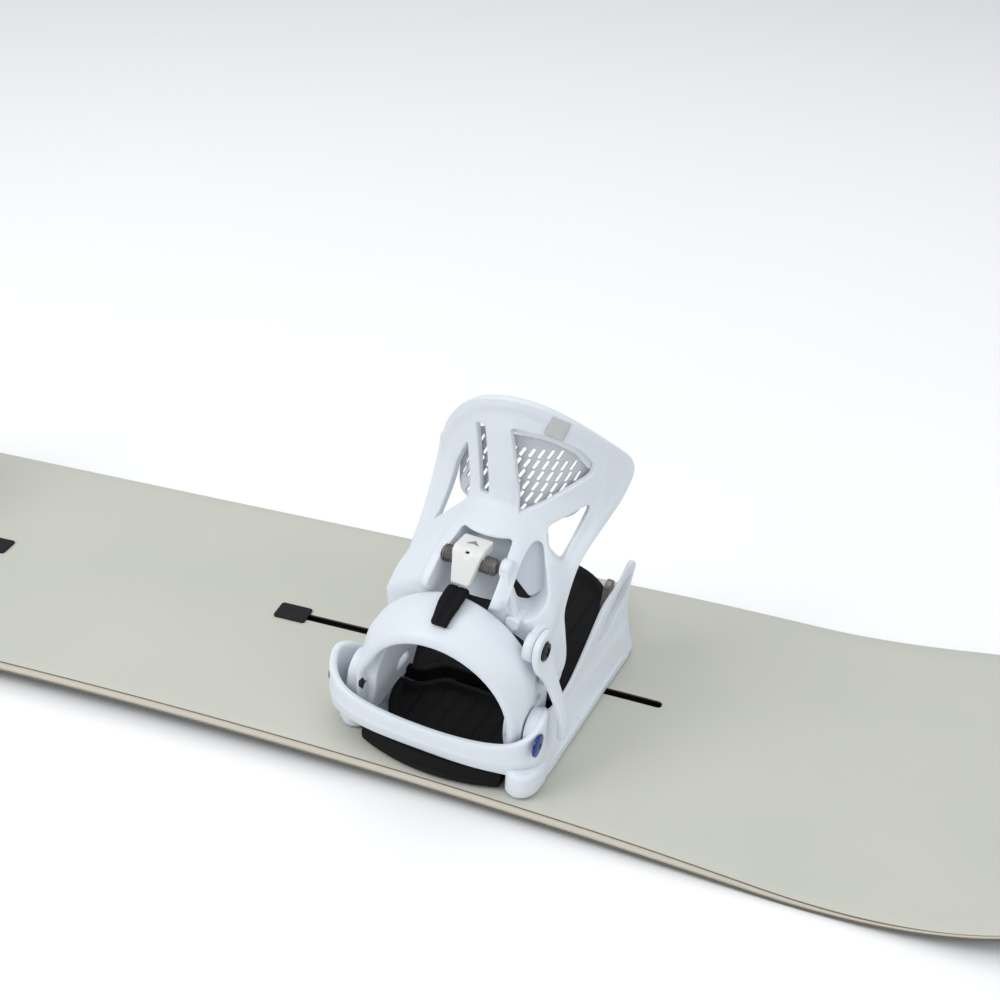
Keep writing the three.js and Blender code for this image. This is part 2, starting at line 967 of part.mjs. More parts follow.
// The link and the toothed slide that carry the lever's pull to the heel catch.
function latchLink() {
  const top = rodX(6, 23, 30, -67, 140);
  const arm = [
    [23.5, -64, 140, 8],
    [28, -66, 124, 7],
    [33, -69, 112.5, 7],
  ].map(([x, y, z, depth]) => [
    [x, y - depth, z],
    [x + 6.5, y - depth, z],
    [x + 6.5, y, z],
    [x, y, z],
  ]);
  return top.add(loft(arm));
}

function latchSlide() {
  const side = [
    [-66, 110],
    [-77, 110],
    [-79, 104],
    [-75, 104],
    [-77, 100],
    [-67, 100],
  ];
  return slabX(side, 33.5, 42.5);
}

// The catch in the middle of the highback's front, which holds the boot's heel.
function heelCatch() {
  const side = [
    [-43, 128],
    [-39, 128],
    [-43, 115],
    [-39, 103],
    [-44, 101],
    [-51, 112],
    [-49, 119],
  ];
  return slabX(side, -12, 12);
}

function hoopBolt(side) {
  const head = side > 0 ? [79.4, 82] : [-82, -79.4];
  const shank = side > 0 ? [50, 80] : [-80, -50];
  return rodX(8.4, ...head, HOOP_BOLT.y, HOOP_BOLT.z).add(rodX(3.9, ...shank, HOOP_BOLT.y, HOOP_BOLT.z));
}

function hoopNut(side) {
  const disc = side > 0 ? [47.5, 50.6] : [-50.6, -47.5];
  const bore = side > 0 ? [49.7, 60] : [-60, -49.7];
  return rodX(8.4, ...disc, HOOP_BOLT.y, HOOP_BOLT.z).subtract(rodX(4.2, ...bore, HOOP_BOLT.y, HOOP_BOLT.z));
}

function pivotScrew(side) {
  const head = side > 0 ? [66.3, 68.6] : [-68.6, -66.3];
  const shank = side > 0 ? [45, 66.5] : [-66.5, -45];
  return rodX(6, ...head, HIGHBACK_PIVOT.y, HIGHBACK_PIVOT.z).add(
    rodX(3.5, ...shank, HIGHBACK_PIVOT.y, HIGHBACK_PIVOT.z),
  );
}

// A steel hook that swings on a pin inside each toe ear and holds the boot's front cleat.
function toeHook(side) {
  const shape = [
    [40, 22],
    [48, 22],
    [52, 40],
    [60, 56],
    [58, 64],
    [48, 62],
    [42, 44],
  ];
  const band = side > 0 ? [56, 61.5] : [-61.5, -56];
  const pin = side > 0 ? [54.5, 68] : [-68, -54.5];
  return slabX(shape, ...band).add(rodX(2.5, ...pin, HOOK_PIN.y, HOOK_PIN.z, 16));
}

// ---- assembly ---------------------------------------------------------------------

function binding() {
  const group = new THREE.Group();
  group.add(
    piece("baseplate", baseplate(), WHITE, 0.5),
    piece("heel_ring", heelRing(), WHITE, 0.5),
    piece("heel_arch", heelArch(), WHITE, 0.5),
    piece("heel_bumper", heelBumper(), BLACK, 0.7),
    piece("heel_pad", heelPad(), BLACK, 0.7),
    piece("front_pad", frontPad(), BLACK, 0.7),
    piece("highback", highback(), WHITE, 0.5),
    piece("mesh_panel", meshPanel(), SILVER, 0.5),
    piece("label_plate", labelPlate(), SILVER, 0.3, 0.8),
    piece("lean_block", leanBlock(), BLOCK_WHITE, 0.5),
    piece("cross_barrel", crossBarrel(), STEEL, 0.4, 0.9),
    piece("rubber_tab", rubberTab(), BLACK, 0.7),
    piece("release_lever", releaseLever(), WHITE, 0.5),
    piece("lever_screw", leverScrew(), BLACK, 0.4, 0.6),
    piece("latch_link", latchLink(), WHITE, 0.5),
    piece("latch_slide", latchSlide(), WHITE, 0.5),
    piece("heel_catch", heelCatch(), STEEL, 0.4, 0.9),
    piece("hoop_bolt_outer", hoopBolt(1), BLUE, 0.3, 0.8),
    piece("hoop_bolt_inner", hoopBolt(-1), BLUE, 0.3, 0.8),
    piece("toe_hook_outer", toeHook(1), STEEL, 0.4, 0.9),
    piece("toe_hook_inner", toeHook(-1), STEEL, 0.4, 0.9),
  );
  return group;
}

function mounting() {
  const group = new THREE.Group();
  group.add(
    piece("mounting_disc", mountingDisc(), 0x3a3a3c, 0.5),
    piece("disc_screw_a", discScrew(SCREW_SPREAD), STEEL, 0.4, 0.9),
    piece("disc_screw_b", discScrew(-SCREW_SPREAD), STEEL, 0.4, 0.9),
    piece("nut_plate", nutPlate(), STEEL, 0.4, 0.9),
  );
  return group;
}

// Names every mesh of a side, places the binding on the curved deck, and mirrors the left one.
function onSide(side) {
  const slope = Math.atan((topHeight(BINDING_X - 1) - topHeight(BINDING_X + 1)) / 2);
  const turned = binding();
  turned.position.set(BINDING_X, 0, topHeight(BINDING_X) + SOLE_GAP);
  turned.rotation.set(0, slope, -TOE_OUT, "YZX");
  const straight = mounting();
  straight.position.copy(turned.position);
  straight.rotation.set(0, slope, 0);
  const whole = new THREE.Group();
  whole.add(turned, straight, channel());
  if (side < 0) whole.scale.set(-1, 1, 1);
  whole.traverse((mesh) => {
    if (mesh.isMesh) mesh.name = `${side > 0 ? "right" : "left"}_${mesh.name}`;
  });
  return whole;
}

const snowboard = new THREE.Group();
snowboard.add(board(), onSide(1), onSide(-1));

export default snowboard;
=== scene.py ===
import math
import bmesh
import bpy
import numpy as np
from mathutils import Matrix
from mathutils.geometry import delaunay_2d_cdt


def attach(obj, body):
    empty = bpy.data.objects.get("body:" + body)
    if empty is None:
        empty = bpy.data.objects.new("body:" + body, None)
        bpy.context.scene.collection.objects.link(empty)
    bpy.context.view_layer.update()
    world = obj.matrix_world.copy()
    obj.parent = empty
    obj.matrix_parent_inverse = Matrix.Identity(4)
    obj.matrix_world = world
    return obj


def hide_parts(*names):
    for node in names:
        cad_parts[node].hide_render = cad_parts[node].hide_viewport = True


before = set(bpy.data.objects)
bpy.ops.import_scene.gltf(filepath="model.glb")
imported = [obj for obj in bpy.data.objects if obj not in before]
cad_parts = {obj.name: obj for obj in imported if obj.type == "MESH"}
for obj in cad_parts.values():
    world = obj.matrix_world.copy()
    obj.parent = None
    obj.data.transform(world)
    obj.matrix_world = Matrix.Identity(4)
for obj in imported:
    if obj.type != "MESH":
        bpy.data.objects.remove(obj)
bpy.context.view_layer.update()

# ---- Topsheet -------------------------------------------------------------
# The printed top layer of the board: a thin matt plastic sheet, pale grey-green with a faint warm
# mottling, die-cut to the outline. Its cut edge shows as a thin brown line. Two slots are milled in it.


def surface(name, color, rough, metal=0.0, mottle=(30.0, 0.04), grain=(900.0, 0.00003), coat=0.0, warm=None):
    """A painted, moulded or metal surface: the colour drifts softly between a darker and a lighter tone, the
    sheen varies with it, and a fine grain dents it. mottle and grain are (scale, strength)."""
    material = bpy.data.materials.new(name)
    material.use_nodes = True
    tree = material.node_tree
    shader = tree.nodes["Principled BSDF"]
    where = tree.nodes.new("ShaderNodeTexCoord")
    drift = tree.nodes.new("ShaderNodeTexNoise")
    drift.inputs["Scale"].default_value = mottle[0]
    drift.inputs["Detail"].default_value = 5.0
    tree.links.new(where.outputs["Object"], drift.inputs["Vector"])
    mix = tree.nodes.new("ShaderNodeMix")
    mix.data_type = "RGBA"
    dark = [c * (1 - mottle[1]) for c in color]
    light = [min(1.0, c * (1 + mottle[1])) for c in (warm or color)]
    mix.inputs[6].default_value = (*dark, 1)
    mix.inputs[7].default_value = (*light, 1)
    tree.links.new(drift.outputs["Fac"], mix.inputs[0])
    tree.links.new(mix.outputs[2], shader.inputs["Base Color"])
    sheen = tree.nodes.new("ShaderNodeMapRange")
    sheen.inputs["To Min"].default_value = max(0.02, rough - 0.06)
    sheen.inputs["To Max"].default_value = min(1.0, rough + 0.06)
    tree.links.new(drift.outputs["Fac"], sheen.inputs["Value"])
    tree.links.new(sheen.outputs["Result"], shader.inputs["Roughness"])
    fine = tree.nodes.new("ShaderNodeTexNoise")
    fine.inputs["Scale"].default_value = grain[0]
    fine.inputs["Detail"].default_value = 3.0
    tree.links.new(where.outputs["Object"], fine.inputs["Vector"])
    dent = tree.nodes.new("ShaderNodeBump")
    dent.inputs["Strength"].default_value = 0.6
    dent.inputs["Distance"].default_value = grain[1]
    tree.links.new(fine.outputs["Fac"], dent.inputs["Height"])
    tree.links.new(dent.outputs["Normal"], shader.inputs["Normal"])
    shader.inputs["Metallic"].default_value = metal
    shader.inputs["Coat Weight"].default_value = coat
    shader.inputs["Specular IOR Level"].default_value = 0.14 if max(color) < 0.05 and metal == 0 else 0.5
    return material


def shown(name, points, faces, materials, body, nodes, slot, groups=None):
    """Makes one smooth mesh of points in metres and faces as rows of indices, rides it on its body and lets it
    stand for its CAD nodes."""
    name = name.replace(" ", "_")
    mesh = bpy.data.meshes.new(name)
    mesh.from_pydata(np.asarray(points, float).tolist(), [], [[int(i) for i in f] for f in faces])
    for material in materials:
        mesh.materials.append(material)
    mesh.polygons.foreach_set("use_smooth", np.ones(len(mesh.polygons), bool))
    if groups is not None:
        mesh.polygons.foreach_set("material_index", np.asarray(groups, np.int32))
    work = bmesh.new()
    work.from_mesh(mesh)
    bmesh.ops.recalc_face_normals(work, faces=work.faces)
    work.to_mesh(mesh)
    work.free()
    thing = bpy.data.objects.new(name, mesh)
    bpy.context.scene.collection.objects.link(thing)
    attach(thing, body)
    if nodes:
        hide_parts(*nodes)
    return thing


def outline(corners, step):
    """A closed line through corners (u, v, rounding): each corner becomes a parabola that starts and ends its
    rounding away along both sides, and the whole line is then cut into even steps."""
    parts = []
    count = len(corners)
    for i in range(count):
        p = np.array(corners[i][:2], float)
        a = np.array(corners[i - 1][:2], float)
        b = np.array(corners[(i + 1) % count][:2], float)
        la, lb = np.linalg.norm(a - p), np.linalg.norm(b - p)
        s = p + (a - p) / la * min(corners[i][2], 0.49 * la)
        e = p + (b - p) / lb * min(corners[i][2], 0.49 * lb)
        for t in np.linspace(0, 1, 9):
            parts.append((1 - t) ** 2 * s + 2 * t * (1 - t) * p + t * t * e)
    return even(np.array(parts), step)


def even(points, step):
    """A closed line through the points, cut into even steps."""
    ring = np.vstack([points, points[:1]])
    along = np.concatenate([[0], np.cumsum(np.linalg.norm(np.diff(ring, axis=0), axis=1))])
    want = np.linspace(0, along[-1], max(8, int(round(along[-1] / step))), endpoint=False)
    return np.c_[np.interp(want, along, ring[:, 0]), np.interp(want, along, ring[:, 1])]


def area(loop):
    u, v = loop[:, 0], loop[:, 1]
    return 0.5 * float(np.sum(u * np.roll(v, -1) - np.roll(u, -1) * v))


def within(points, loop):
    """Which points lie inside a closed line, by counting the sides crossed to their right."""
    hit = np.zeros(len(points), bool)
    following = np.roll(loop, -1, 0)
    x, y = points[:, 0], points[:, 1]
    for (ax, ay), (bx, by) in zip(loop, following):
        crosses = (ay > y) != (by > y)
        if crosses.any():
            at = ax + (y - ay) / (by - ay if by != ay else 1e-12) * (bx - ax)
            hit ^= crosses & (x < at)
    return hit


def nearest(points, loop):
    """Distance from each point to a finely stepped line."""
    best = np.full(len(points), 1e9)
    for start in range(0, len(loop), 200):
        part = loop[start : start + 200]
        gap = np.linalg.norm(points[:, None, :] - part[None], axis=2)
        best = np.minimum(best, gap.min(1))
    return best


def plate(line, holes, place, outer, inner, edge=1.2, gap=3.0, steps=4):
    """A sheet of any outline with any holes and softly rounded edges. place(u, v, height) puts a point in
    space, and outer and inner give both faces' heights at (u, v). Every edge is rounded by rings of points in
    quarter circles of radius edge, and evenly spread triangles fill both faces. Returns the points, the
    faces, and for each face 0 front, 1 edge or 2 back."""
    loops = [line if area(line) > 0 else line[::-1]]
    loops += [h if area(h) < 0 else h[::-1] for h in holes]
    points, faces, groups = [], [], []
    caps, front, back = [], [], []
    total = 0
    for loop in loops:
        along = np.roll(loop, -1, 0) - np.roll(loop, 1, 0)
        inward = np.c_[-along[:, 1], along[:, 0]]
        inward /= np.maximum(np.linalg.norm(inward, axis=1), 1e-12)[:, None]
        cap = loop + inward * edge
        high, low = outer(cap[:, 0], cap[:, 1]), inner(cap[:, 0], cap[:, 1])
        drop = np.minimum(edge, 0.45 * (high - low))
        rings = []
        for k in range(steps + 1):
            turn = 0.5 * math.pi * k / steps
            at = loop + inward * edge * (1 - math.sin(turn))
            rings.append(place(at[:, 0], at[:, 1], high - drop * (1 - math.cos(turn))))
        for k in range(steps, -1, -1):
            turn = 0.5 * math.pi * k / steps
            at = loop + inward * edge * (1 - math.sin(turn))
            rings.append(place(at[:, 0], at[:, 1], low + drop * (1 - math.cos(turn))))
        n = len(loop)
        here = np.arange(n)
        nxt = (here + 1) % n
        for k in range(len(rings) - 1):
            a, b = total + k * n, total + (k + 1) * n
            faces += np.c_[a + here, a + nxt, b + nxt, b + here].tolist()
            groups += [1] * n
        points.append(np.vstack(rings))
        caps.append(cap)
        front.append(total + here)
        back.append(total + (len(rings) - 1) * n + here)
        total += len(rings) * n
    low_corner, high_corner = caps[0].min(0), caps[0].max(0)
    rows = []
    for r, v in enumerate(np.arange(low_corner[1], high_corner[1], gap * 0.866)):
        u = np.arange(low_corner[0] + (gap / 2 if r % 2 else 0), high_corner[0], gap)
        rows.append(np.c_[u, np.full(len(u), v)])
    grid = np.vstack(rows)
    keep = within(grid, caps[0])
    for cap in caps[1:]:
        keep &= ~within(grid, cap)
    grid = grid[keep]
    for cap in caps:
        grid = grid[nearest(grid, cap) > 0.6 * gap]
    edges, start = [], 0
    for cap in caps:
        edges += [(start + i, start + (i + 1) % len(cap)) for i in range(len(cap))]
        start += len(cap)
    flat = np.vstack(caps + [grid])
    made = delaunay_2d_cdt([tuple(p) for p in flat.tolist()], edges, [], 0, 1e-7)
    found = np.array([tuple(p) for p in made[0]], float)
    source = [o[0] if o else -1 for o in made[3]]
    front_of, back_of = {}, {}
    for i, (f, b) in enumerate(zip(np.concatenate(front), np.concatenate(back))):
        front_of[i], back_of[i] = f, b
    loose = [k for k, s in enumerate(source) if s < 0 or s >= start]
    new = found[loose]
    heights = outer(new[:, 0], new[:, 1]), inner(new[:, 0], new[:, 1])
    points.append(place(new[:, 0], new[:, 1], heights[0]))
    points.append(place(new[:, 0], new[:, 1], heights[1]))
    place_of = {k: total + i for i, k in enumerate(loose)}
    many = len(loose)
    corners = np.array([list(f) for f in made[2] if len(f) == 3])
    middle = found[corners].mean(1)
    good = within(middle, caps[0])
    for cap in caps[1:]:
        good &= ~within(middle, cap)
    for tri in corners[good]:
        up = [place_of[k] if k in place_of else front_of[source[k]] for k in tri]
        down = [place_of[k] + many if k in place_of else back_of[source[k]] for k in tri]
        faces.append(up)
        faces.append(down[::-1])
        groups += [0, 2]
    return np.vstack(points), faces, groups


def level(value):
    """A face of one height all over."""
    return lambda u, v: np.full(np.shape(u), float(value))


HALF_LENGTH = 780
HALF_WAIST = 127.9
SIDECUT_RADIUS = 8190
BINDING_CENTRE = 305


def base_height(x):
    """Height of the board's underside, mm: a parabola of camber, with both tips kicked up by a square law."""
    kick = np.maximum(0, np.abs(x) - 520)
    return 14.5 * (1 - (x / 600) ** 2) + 0.00096 * kick**2 - 3.13


def thickness(x):
    t = np.clip((np.abs(x) - 400) / 260, 0, 1)
    return 4.6 + 5.2 * (1 - t * t * (3 - 2 * t))


def top_height(x):
    return base_height(x) + thickness(x)


def board_line(inset, step):
    """The board's outline, mm: sidecut parabola closed by a twelfth-power curve at both tips."""
    reach = HALF_LENGTH - inset
    s = np.linspace(-math.pi / 2, math.pi / 2, 900)
    x = reach * np.sin(s)
    half = HALF_WAIST + x * x / (2 * SIDECUT_RADIUS)
    y = half * np.sqrt(np.clip(1 - np.abs(x / reach) ** 12, 0, 1)) - inset
    y = np.maximum(y, 0)
    return even(np.vstack([np.c_[x, -y], np.c_[x[::-1], y[::-1]]]), step)


def along_board(rise):
    """Places a point on the board: u and v in plan, and a height above the given surface."""
    return lambda u, v, h: np.c_[u, v, rise(u) + h] / 1000


def slot_line(side):
    """The slot's round-ended outline, mm."""
    ends = [(137, -3.5, 3.5), (427, -3.5, 3.5), (427, 3.5, 3.5), (137, 3.5, 3.5)]
    return outline([(side * u, v, r) for u, v, r in ends], 1.2)


topsheet = surface(
    "topsheet", (0.50, 0.515, 0.455), 0.5, mottle=(7.0, 0.035), grain=(1500.0, 0.00001),
    warm=(0.545, 0.54, 0.475)
)
cut_edge = surface("topsheet cut edge", (0.20, 0.125, 0.085), 0.6)
sheet = plate(
    board_line(0.4, 5.0), [slot_line(1), slot_line(-1)], along_board(top_height), level(0.0), level(-1.1),
    edge=0.3, gap=11.0, steps=2
)
finishes = [topsheet, cut_edge, cut_edge]
shown("Topsheet", sheet[0], sheet[1], finishes, "board", ["topsheet"], "topsheet_grey", sheet[2])

# ---- Sidewall, steel edge and base ------------------------------------------
# A cream plastic strip closes the core all round. Under it runs the hardened steel edge, ground square, and
# between the edges lies the black sintered base.


def band(inset, section):
    """A closed strip along the board's outline. Its section is a ring of (inset, height, from): the height is
    above the underside where from is 0, and above the top where it is 1."""
    loop = board_line(inset, 4.0)
    along = np.roll(loop, -1, 0) - np.roll(loop, 1, 0)
    inward = np.c_[-along[:, 1], along[:, 0]]
    inward /= np.linalg.norm(inward, axis=1)[:, None]
    if area(loop) < 0:
        inward = -inward
    rows = []
    for depth, height, from_top in section:
        at = loop + inward * depth
        z = (top_height(at[:, 0]) if from_top else base_height(at[:, 0])) + height
        rows.append(np.c_[at, z] / 1000)
    return tube(np.stack(rows, 1), True)


def tube(sections, closed=False):
    """Joins rings of points into a skin, each ring to the next. A closed one runs round to its first ring,
    and an open one is capped by a fan at both ends."""
    count, corners = sections.shape[:2]
    points = sections.reshape(-1, 3)
    ring = np.arange(corners)
    turn = (ring + 1) % corners
    faces = []
    for i in range(count if closed else count - 1):
        a, b = i * corners, ((i + 1) % count) * corners
        faces += np.c_[a + ring, a + turn, b + turn, b + ring].tolist()
    if not closed:
        for i in (0, count - 1):
            points = np.vstack([points, sections[i].mean(0)])
            middle = len(points) - 1
            faces += np.c_[i * corners + ring, i * corners + turn, np.full(corners, middle)].tolist()
    return points, faces


sidewall = surface("sidewall plastic", (0.60, 0.555, 0.47), 0.42, 0.0, (60.0, 0.04), (1200.0, 0.00002))
SIDEWALL = [(0.0, 2.2, 0), (0.0, 4.5, 0), (0.5, -1.3, 1), (1.0, -1.12, 1), (5.5, -1.12, 1), (5.5, 2.2, 0)]
strip = band(0.3, SIDEWALL)
shown("Sidewall", *strip, [sidewall], "board", ["sidewall"], "sidewall_cream")
edge_steel = surface("ground edge steel", (0.17, 0.155, 0.13), 0.42, 0.85, (200.0, 0.10), (2500.0, 0.00002))
EDGE = [(0.0, 0.3, 0), (0.0, 1.9, 0), (0.2, 2.1, 0), (2.0, 2.1, 0), (2.0, 0.05, 0), (0.25, 0.05, 0)]
strip = band(0.0, EDGE)
shown("Steel edge", *strip, [edge_steel], "board", ["steel_edge"], "edge_steel")
base_black = surface("sintered base", (0.022, 0.022, 0.024), 0.35, 0.0, (90.0, 0.12), (1800.0, 0.00001), 0.15)
sheet = plate(board_line(2.3, 6.0), [], along_board(base_height), level(1.3), level(0.0), 0.15, 14.0, 1)
shown("Base", sheet[0], sheet[1], [base_black], "board", ["base_sheet"], "base_black")

# ---- Core and channels -------------------------------------------------------
# A laminated wood core fills the board. Two plastic rails with a T-shaped slot are let into it, and a small
# rubbery cover closes the slot's inner end on each side.


def bare(node, material):
    """Gives a CAD node that stays in view its finish."""
    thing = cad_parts[node]
    thing.data.materials.clear()
    thing.data.materials.append(material)


core_wood = surface("core wood", (0.50, 0.34, 0.19), 0.7, 0.0, (25.0, 0.18), (400.0, 0.00008))
bare("wood_core", core_wood)
rail_plastic = surface("rail plastic", (0.020, 0.020, 0.022), 0.4, 0.0, (80.0, 0.1), (900.0, 0.00003))
cover_black = surface("cover plastic", (0.014, 0.014, 0.015), 0.55, 0.0, (120.0, 0.15), (1500.0, 0.00004))
for name, side in (("right", 1), ("left", -1)):
    bare(f"{name}_channel_rail", rail_plastic)
    line = outline([(side * u, v, 2.6) for u, v in ((121, -9), (147, -9), (147, 9), (121, 9))], 0.8)

    def domed(u, v):
        """The cover's top: flat, with a shallow round-cornered dish pressed into it."""
        dish = np.clip((np.minimum(9 - np.abs(np.abs(u) - 134), 6.5 - np.abs(v)) - 2.0) / 1.2, 0, 1)
        return 1.75 - 0.35 * dish

    cover = plate(line, [], along_board(top_height), domed, level(0.1), 0.5, 0.9, 3)
    node = f"{name}_channel_cover"
    shown(f"{name} channel cover", cover[0], cover[1], [cover_black], "board", [node], "cover_black")

# ---- Baseplate -----------------------------------------------------------------
# One glass-filled nylon moulding: floor, flared side walls that rise into slotted toe ears, and rear feet.
# White, with the fine matt grain of the mould.

TILT = math.atan((top_height(BINDING_CENTRE - 1.0) - top_height(BINDING_CENTRE + 1.0)) / 2)
TOE_OUT = math.radians(7)
REST_GAP = 0.4


def seat(side):
    """Returns what moves points from the binding's frame, mm, to the board's, m. The left one is mirrored."""
    turn = np.array(Matrix.Rotation(TILT, 3, "Y") @ Matrix.Rotation(-TOE_OUT, 3, "Z"))
    origin = np.array([BINDING_CENTRE, 0.0, float(top_height(BINDING_CENTRE)) + REST_GAP])

    def move(points):
        out = (points @ turn.T + origin) / 1000
        out[:, 0] *= side
        return out

    return move


SIDES = (("right", 1), ("left", -1))


def both(title, made, materials, body, nodes, slot, groups=None):
    """Makes a piece of the right binding and its mirror image on the left."""
    for name, side in SIDES:
        home = "board" if body == "board" else f"{name}_{body}"
        points = seat(side)(made[0])
        own = [f"{name}_{n}" for n in nodes]
        shown(f"{name} {title}", points, made[1], materials, home, own, slot, groups)


def joined(*parts):
    """Several bodies as one mesh."""
    points, faces, start = [], [], 0
    for part in parts:
        points.append(part[0])
        faces += [[i + start for i in f] for f in part[1]]
        start += len(part[0])
    return np.vstack(points), faces


def smooth_step(x):
    x = np.clip(x, 0, 1)
    return x * x * (3 - 2 * x)


def soft_reading(pairs, reach):
    """A curve through (position, value) pairs, with its corners blurred over the given reach."""
    knots = np.array(pairs, float)
    at = np.linspace(knots[0, 0] - 40, knots[-1, 0] + 40, 1600)
    values = np.interp(at, knots[:, 0], knots[:, 1])
    width = max(1, int(reach / (at[1] - at[0])))
    kernel = np.hanning(2 * width + 3)
    values = np.convolve(np.pad(values, width + 1, mode="edge"), kernel / kernel.sum(), mode="valid")
    return lambda x: np.interp(x, at, values)


white = surface(
    "white nylon", (0.68, 0.725, 0.775), 0.46, mottle=(18.0, 0.02), grain=(1400.0, 0.00002),
    warm=(0.70, 0.735, 0.775)
)


def upright(u, v, h):
    """Places a point of a level plate."""
    return np.c_[u, v, h]


def sideways(side=1):
    """Places a point of a plate that faces sideways: u along the foot, v up, height outwards."""
    return lambda u, v, h: np.c_[side * h, u, v]


wall_top = soft_reading(
    [(-118, 50), (-103, 57), (-90, 56), (-78, 43), (-62, 30), (-30, 25), (-4, 38), (28, 56), (66, 78)], 5
)
wall_reach = soft_reading([(-118, 70), (-90, 69), (-60, 66), (-20, 65), (30, 66.5), (55, 69), (75, 74)], 10)


def wall_outer(side):
    """The wall's outer face: steep under its upper edge, flaring to the foot, a soft crease half way."""

    def face(y, z):
        low = np.clip(z / np.maximum(wall_top(y), 20), 0, 1)
        foot = 78.5 + 0.02 * (y + 20)
        crease = 1.3 * smooth_step((19 + 0.10 * (y + 60) - z) / 3) * smooth_step((y + 108) / 30)
        return wall_reach(y) + (foot - wall_reach(y)) * (1 - low) ** 1.6 + crease * smooth_step((62 - y) / 12)

    return face


def wall_inner(y, z):
    return 61.9 + 5.5 * smooth_step((z - 46) / 30) * smooth_step((y - 20) / 30)


WALL = [
    (-110, 0.6, 3), (66, 0.6, 6), (61, 22, 12), (61, 47, 14), (68, 66, 8), (71.5, 76, 4), (64, 79.5, 4),
    (28, 56.5, 18), (-4, 38, 18), (-30, 25.5, 16), (-62, 30, 16), (-78, 43, 12), (-90, 56, 10), (-100, 56, 8),
    (-108, 48, 6),
]
EAR_SLOT = [(16, 36, 2), (28, 33.5, 4), (58, 50.5, 6), (64.5, 68.5, 2.5), (53, 63, 6)]
walls = [
    plate(
        outline(WALL, 1.6), [outline(EAR_SLOT, 1.2)], sideways(s),
        wall_outer(s), wall_inner, 1.6, 3.0
    )
    for s in (1, -1)
]
FLOOR = [
    (-52, -98, 4), (52, -98, 4), (57, -108, 4), (76, -108, 4), (78, -60, 20), (80, 40, 20), (79, 60, 8),
    (72, 69, 8), (60, 77, 10), (52, 92, 16), (38, 107, 16), (22, 116, 16), (-22, 116, 16), (-38, 107, 16),
    (-52, 92, 16),
    (-60, 77, 10), (-72, 69, 8), (-79, 60, 8), (-80, 40, 20), (-78, -60, 20), (-76, -108, 4), (-57, -108, 4),
]


def circle(u, v, radius, corners, step):
    """A round closed line about (u, v), cut into even steps."""
    turn = np.linspace(0, 2 * math.pi, corners)[:-1]
    return even(np.array([(u + radius * math.cos(a), v + radius * math.sin(a)) for a in turn]), step)


well = circle(0, 0, 45, 90, 3)
floor_plate = plate(outline(FLOOR, 2.5), [well], upright, level(8), level(0), 1.5, 6.0)
FOOT = [(55, -96, 4), (56, -121, 6), (68, -125, 8), (77.5, -116, 9), (78.5, -96, 6)]
feet = [
    plate(
        outline([(s * u, v + (0 if s > 0 else 9), r) for u, v, r in FOOT], 1.6), [], upright,
        level(20 if s > 0 else 12), level(0), 4.0, 3.0, 6
    )
    for s in (1, -1)
]
both("baseplate", joined(*walls, floor_plate, *feet), [white], "board", ["baseplate"], "white_plastic")

# ---- Heel ring -------------------------------------------------------------------
# The thick band round the heel, part of the same family of white mouldings. Its lip is rolled, and a crease
# runs along its outer face where the mould closes.


def softened(corners, reach, per=5):
    """A closed section through 3-D corners, each corner turned into a parabola of `per` points."""
    count = corners.shape[0]
    out = []
    for i in range(count):
        p, a, b = corners[i], corners[i - 1], corners[(i + 1) % count]
        la, lb = np.linalg.norm(a - p), np.linalg.norm(b - p)
        s = p + (a - p) / la * min(reach, 0.49 * la)
        e = p + (b - p) / lb * min(reach, 0.49 * lb)
        for t in np.linspace(0, 1, per):
            out.append((1 - t) ** 2 * s + 2 * t * (1 - t) * p + t * t * e)
    return np.array(out)


def round_ends(sections, reach):
    """Adds three shrinking rings past both ends, so that a bar ends in a soft edge."""
    out = list(sections)
    for end, near in ((0, 1), (-1, -2)):
        ring = sections[end]
        middle = ring.mean(0)
        away = middle - sections[near].mean(0)
        away /= np.linalg.norm(away)
        size = np.linalg.norm(ring - middle, axis=1).mean()
        extra = []
        for a in (30, 60, 90):
            a = math.radians(a)
            share = 1 - min(0.6, reach / size) * (1 - math.cos(a))
            extra.append(middle + (ring - middle) * share + away * reach * math.sin(a))
        out = extra[::-1] + out if end == 0 else out + extra
    return np.array(out)


def ring_plan(t):
    """Half the ring seen from above, from its front end (0) to the middle of the rear (1)."""
    if t < 0.3:
        return 69 + 10 * float(smooth_step(t / 0.3)), -68 - 32 * t / 0.3
    a = (t - 0.3) / 0.7 * math.pi / 2
    return 79 * math.cos(a) ** 0.72, -100 - 28 * math.sin(a) ** 0.9


def ring_point(t):
    x, y = ring_plan(1 - abs(t))
    if t > 0:
        return np.array([x - 4.5, y])
    return np.array([-x - 7.5 * float(smooth_step((1 + t) / 0.3)), y])


ring_high = soft_reading(
    [(-0.2, 36), (0, 36), (0.35, 39.5), (0.55, 47), (0.7, 56), (0.8, 57), (0.9, 48), (1, 33), (1.2, 25)], 0.08
)
ring_low = soft_reading(
    [(-1.2, 5), (-0.8, 11), (-0.5, 14), (0, 16), (0.3, 15), (0.55, 9), (0.75, 4), (1.2, 3)], 0.12
)
sections = []
for t in np.linspace(-1, 1, 121):
    here = ring_point(t)
    step = ring_point(min(1, t + 0.012)) - ring_point(max(-1, t - 0.012))
    inward = np.array([-step[1], step[0]]) / np.linalg.norm(step)
    high, low = float(ring_high(abs(t))), float(ring_low(t))
    rise = high - low
    shape = [(1.6, low), (-0.3, low + 0.42 * rise), (0.15, low + 0.5 * rise), (0.2, high - 2.5), (1.2, high),
             (5.2, high - 0.4), (6.2, high - 3.5), (6.4, low + 3), (5, low)]
    corners = np.array([[*(here + inward * d), z] for d, z in shape])
    sections.append(softened(corners, 2.2))
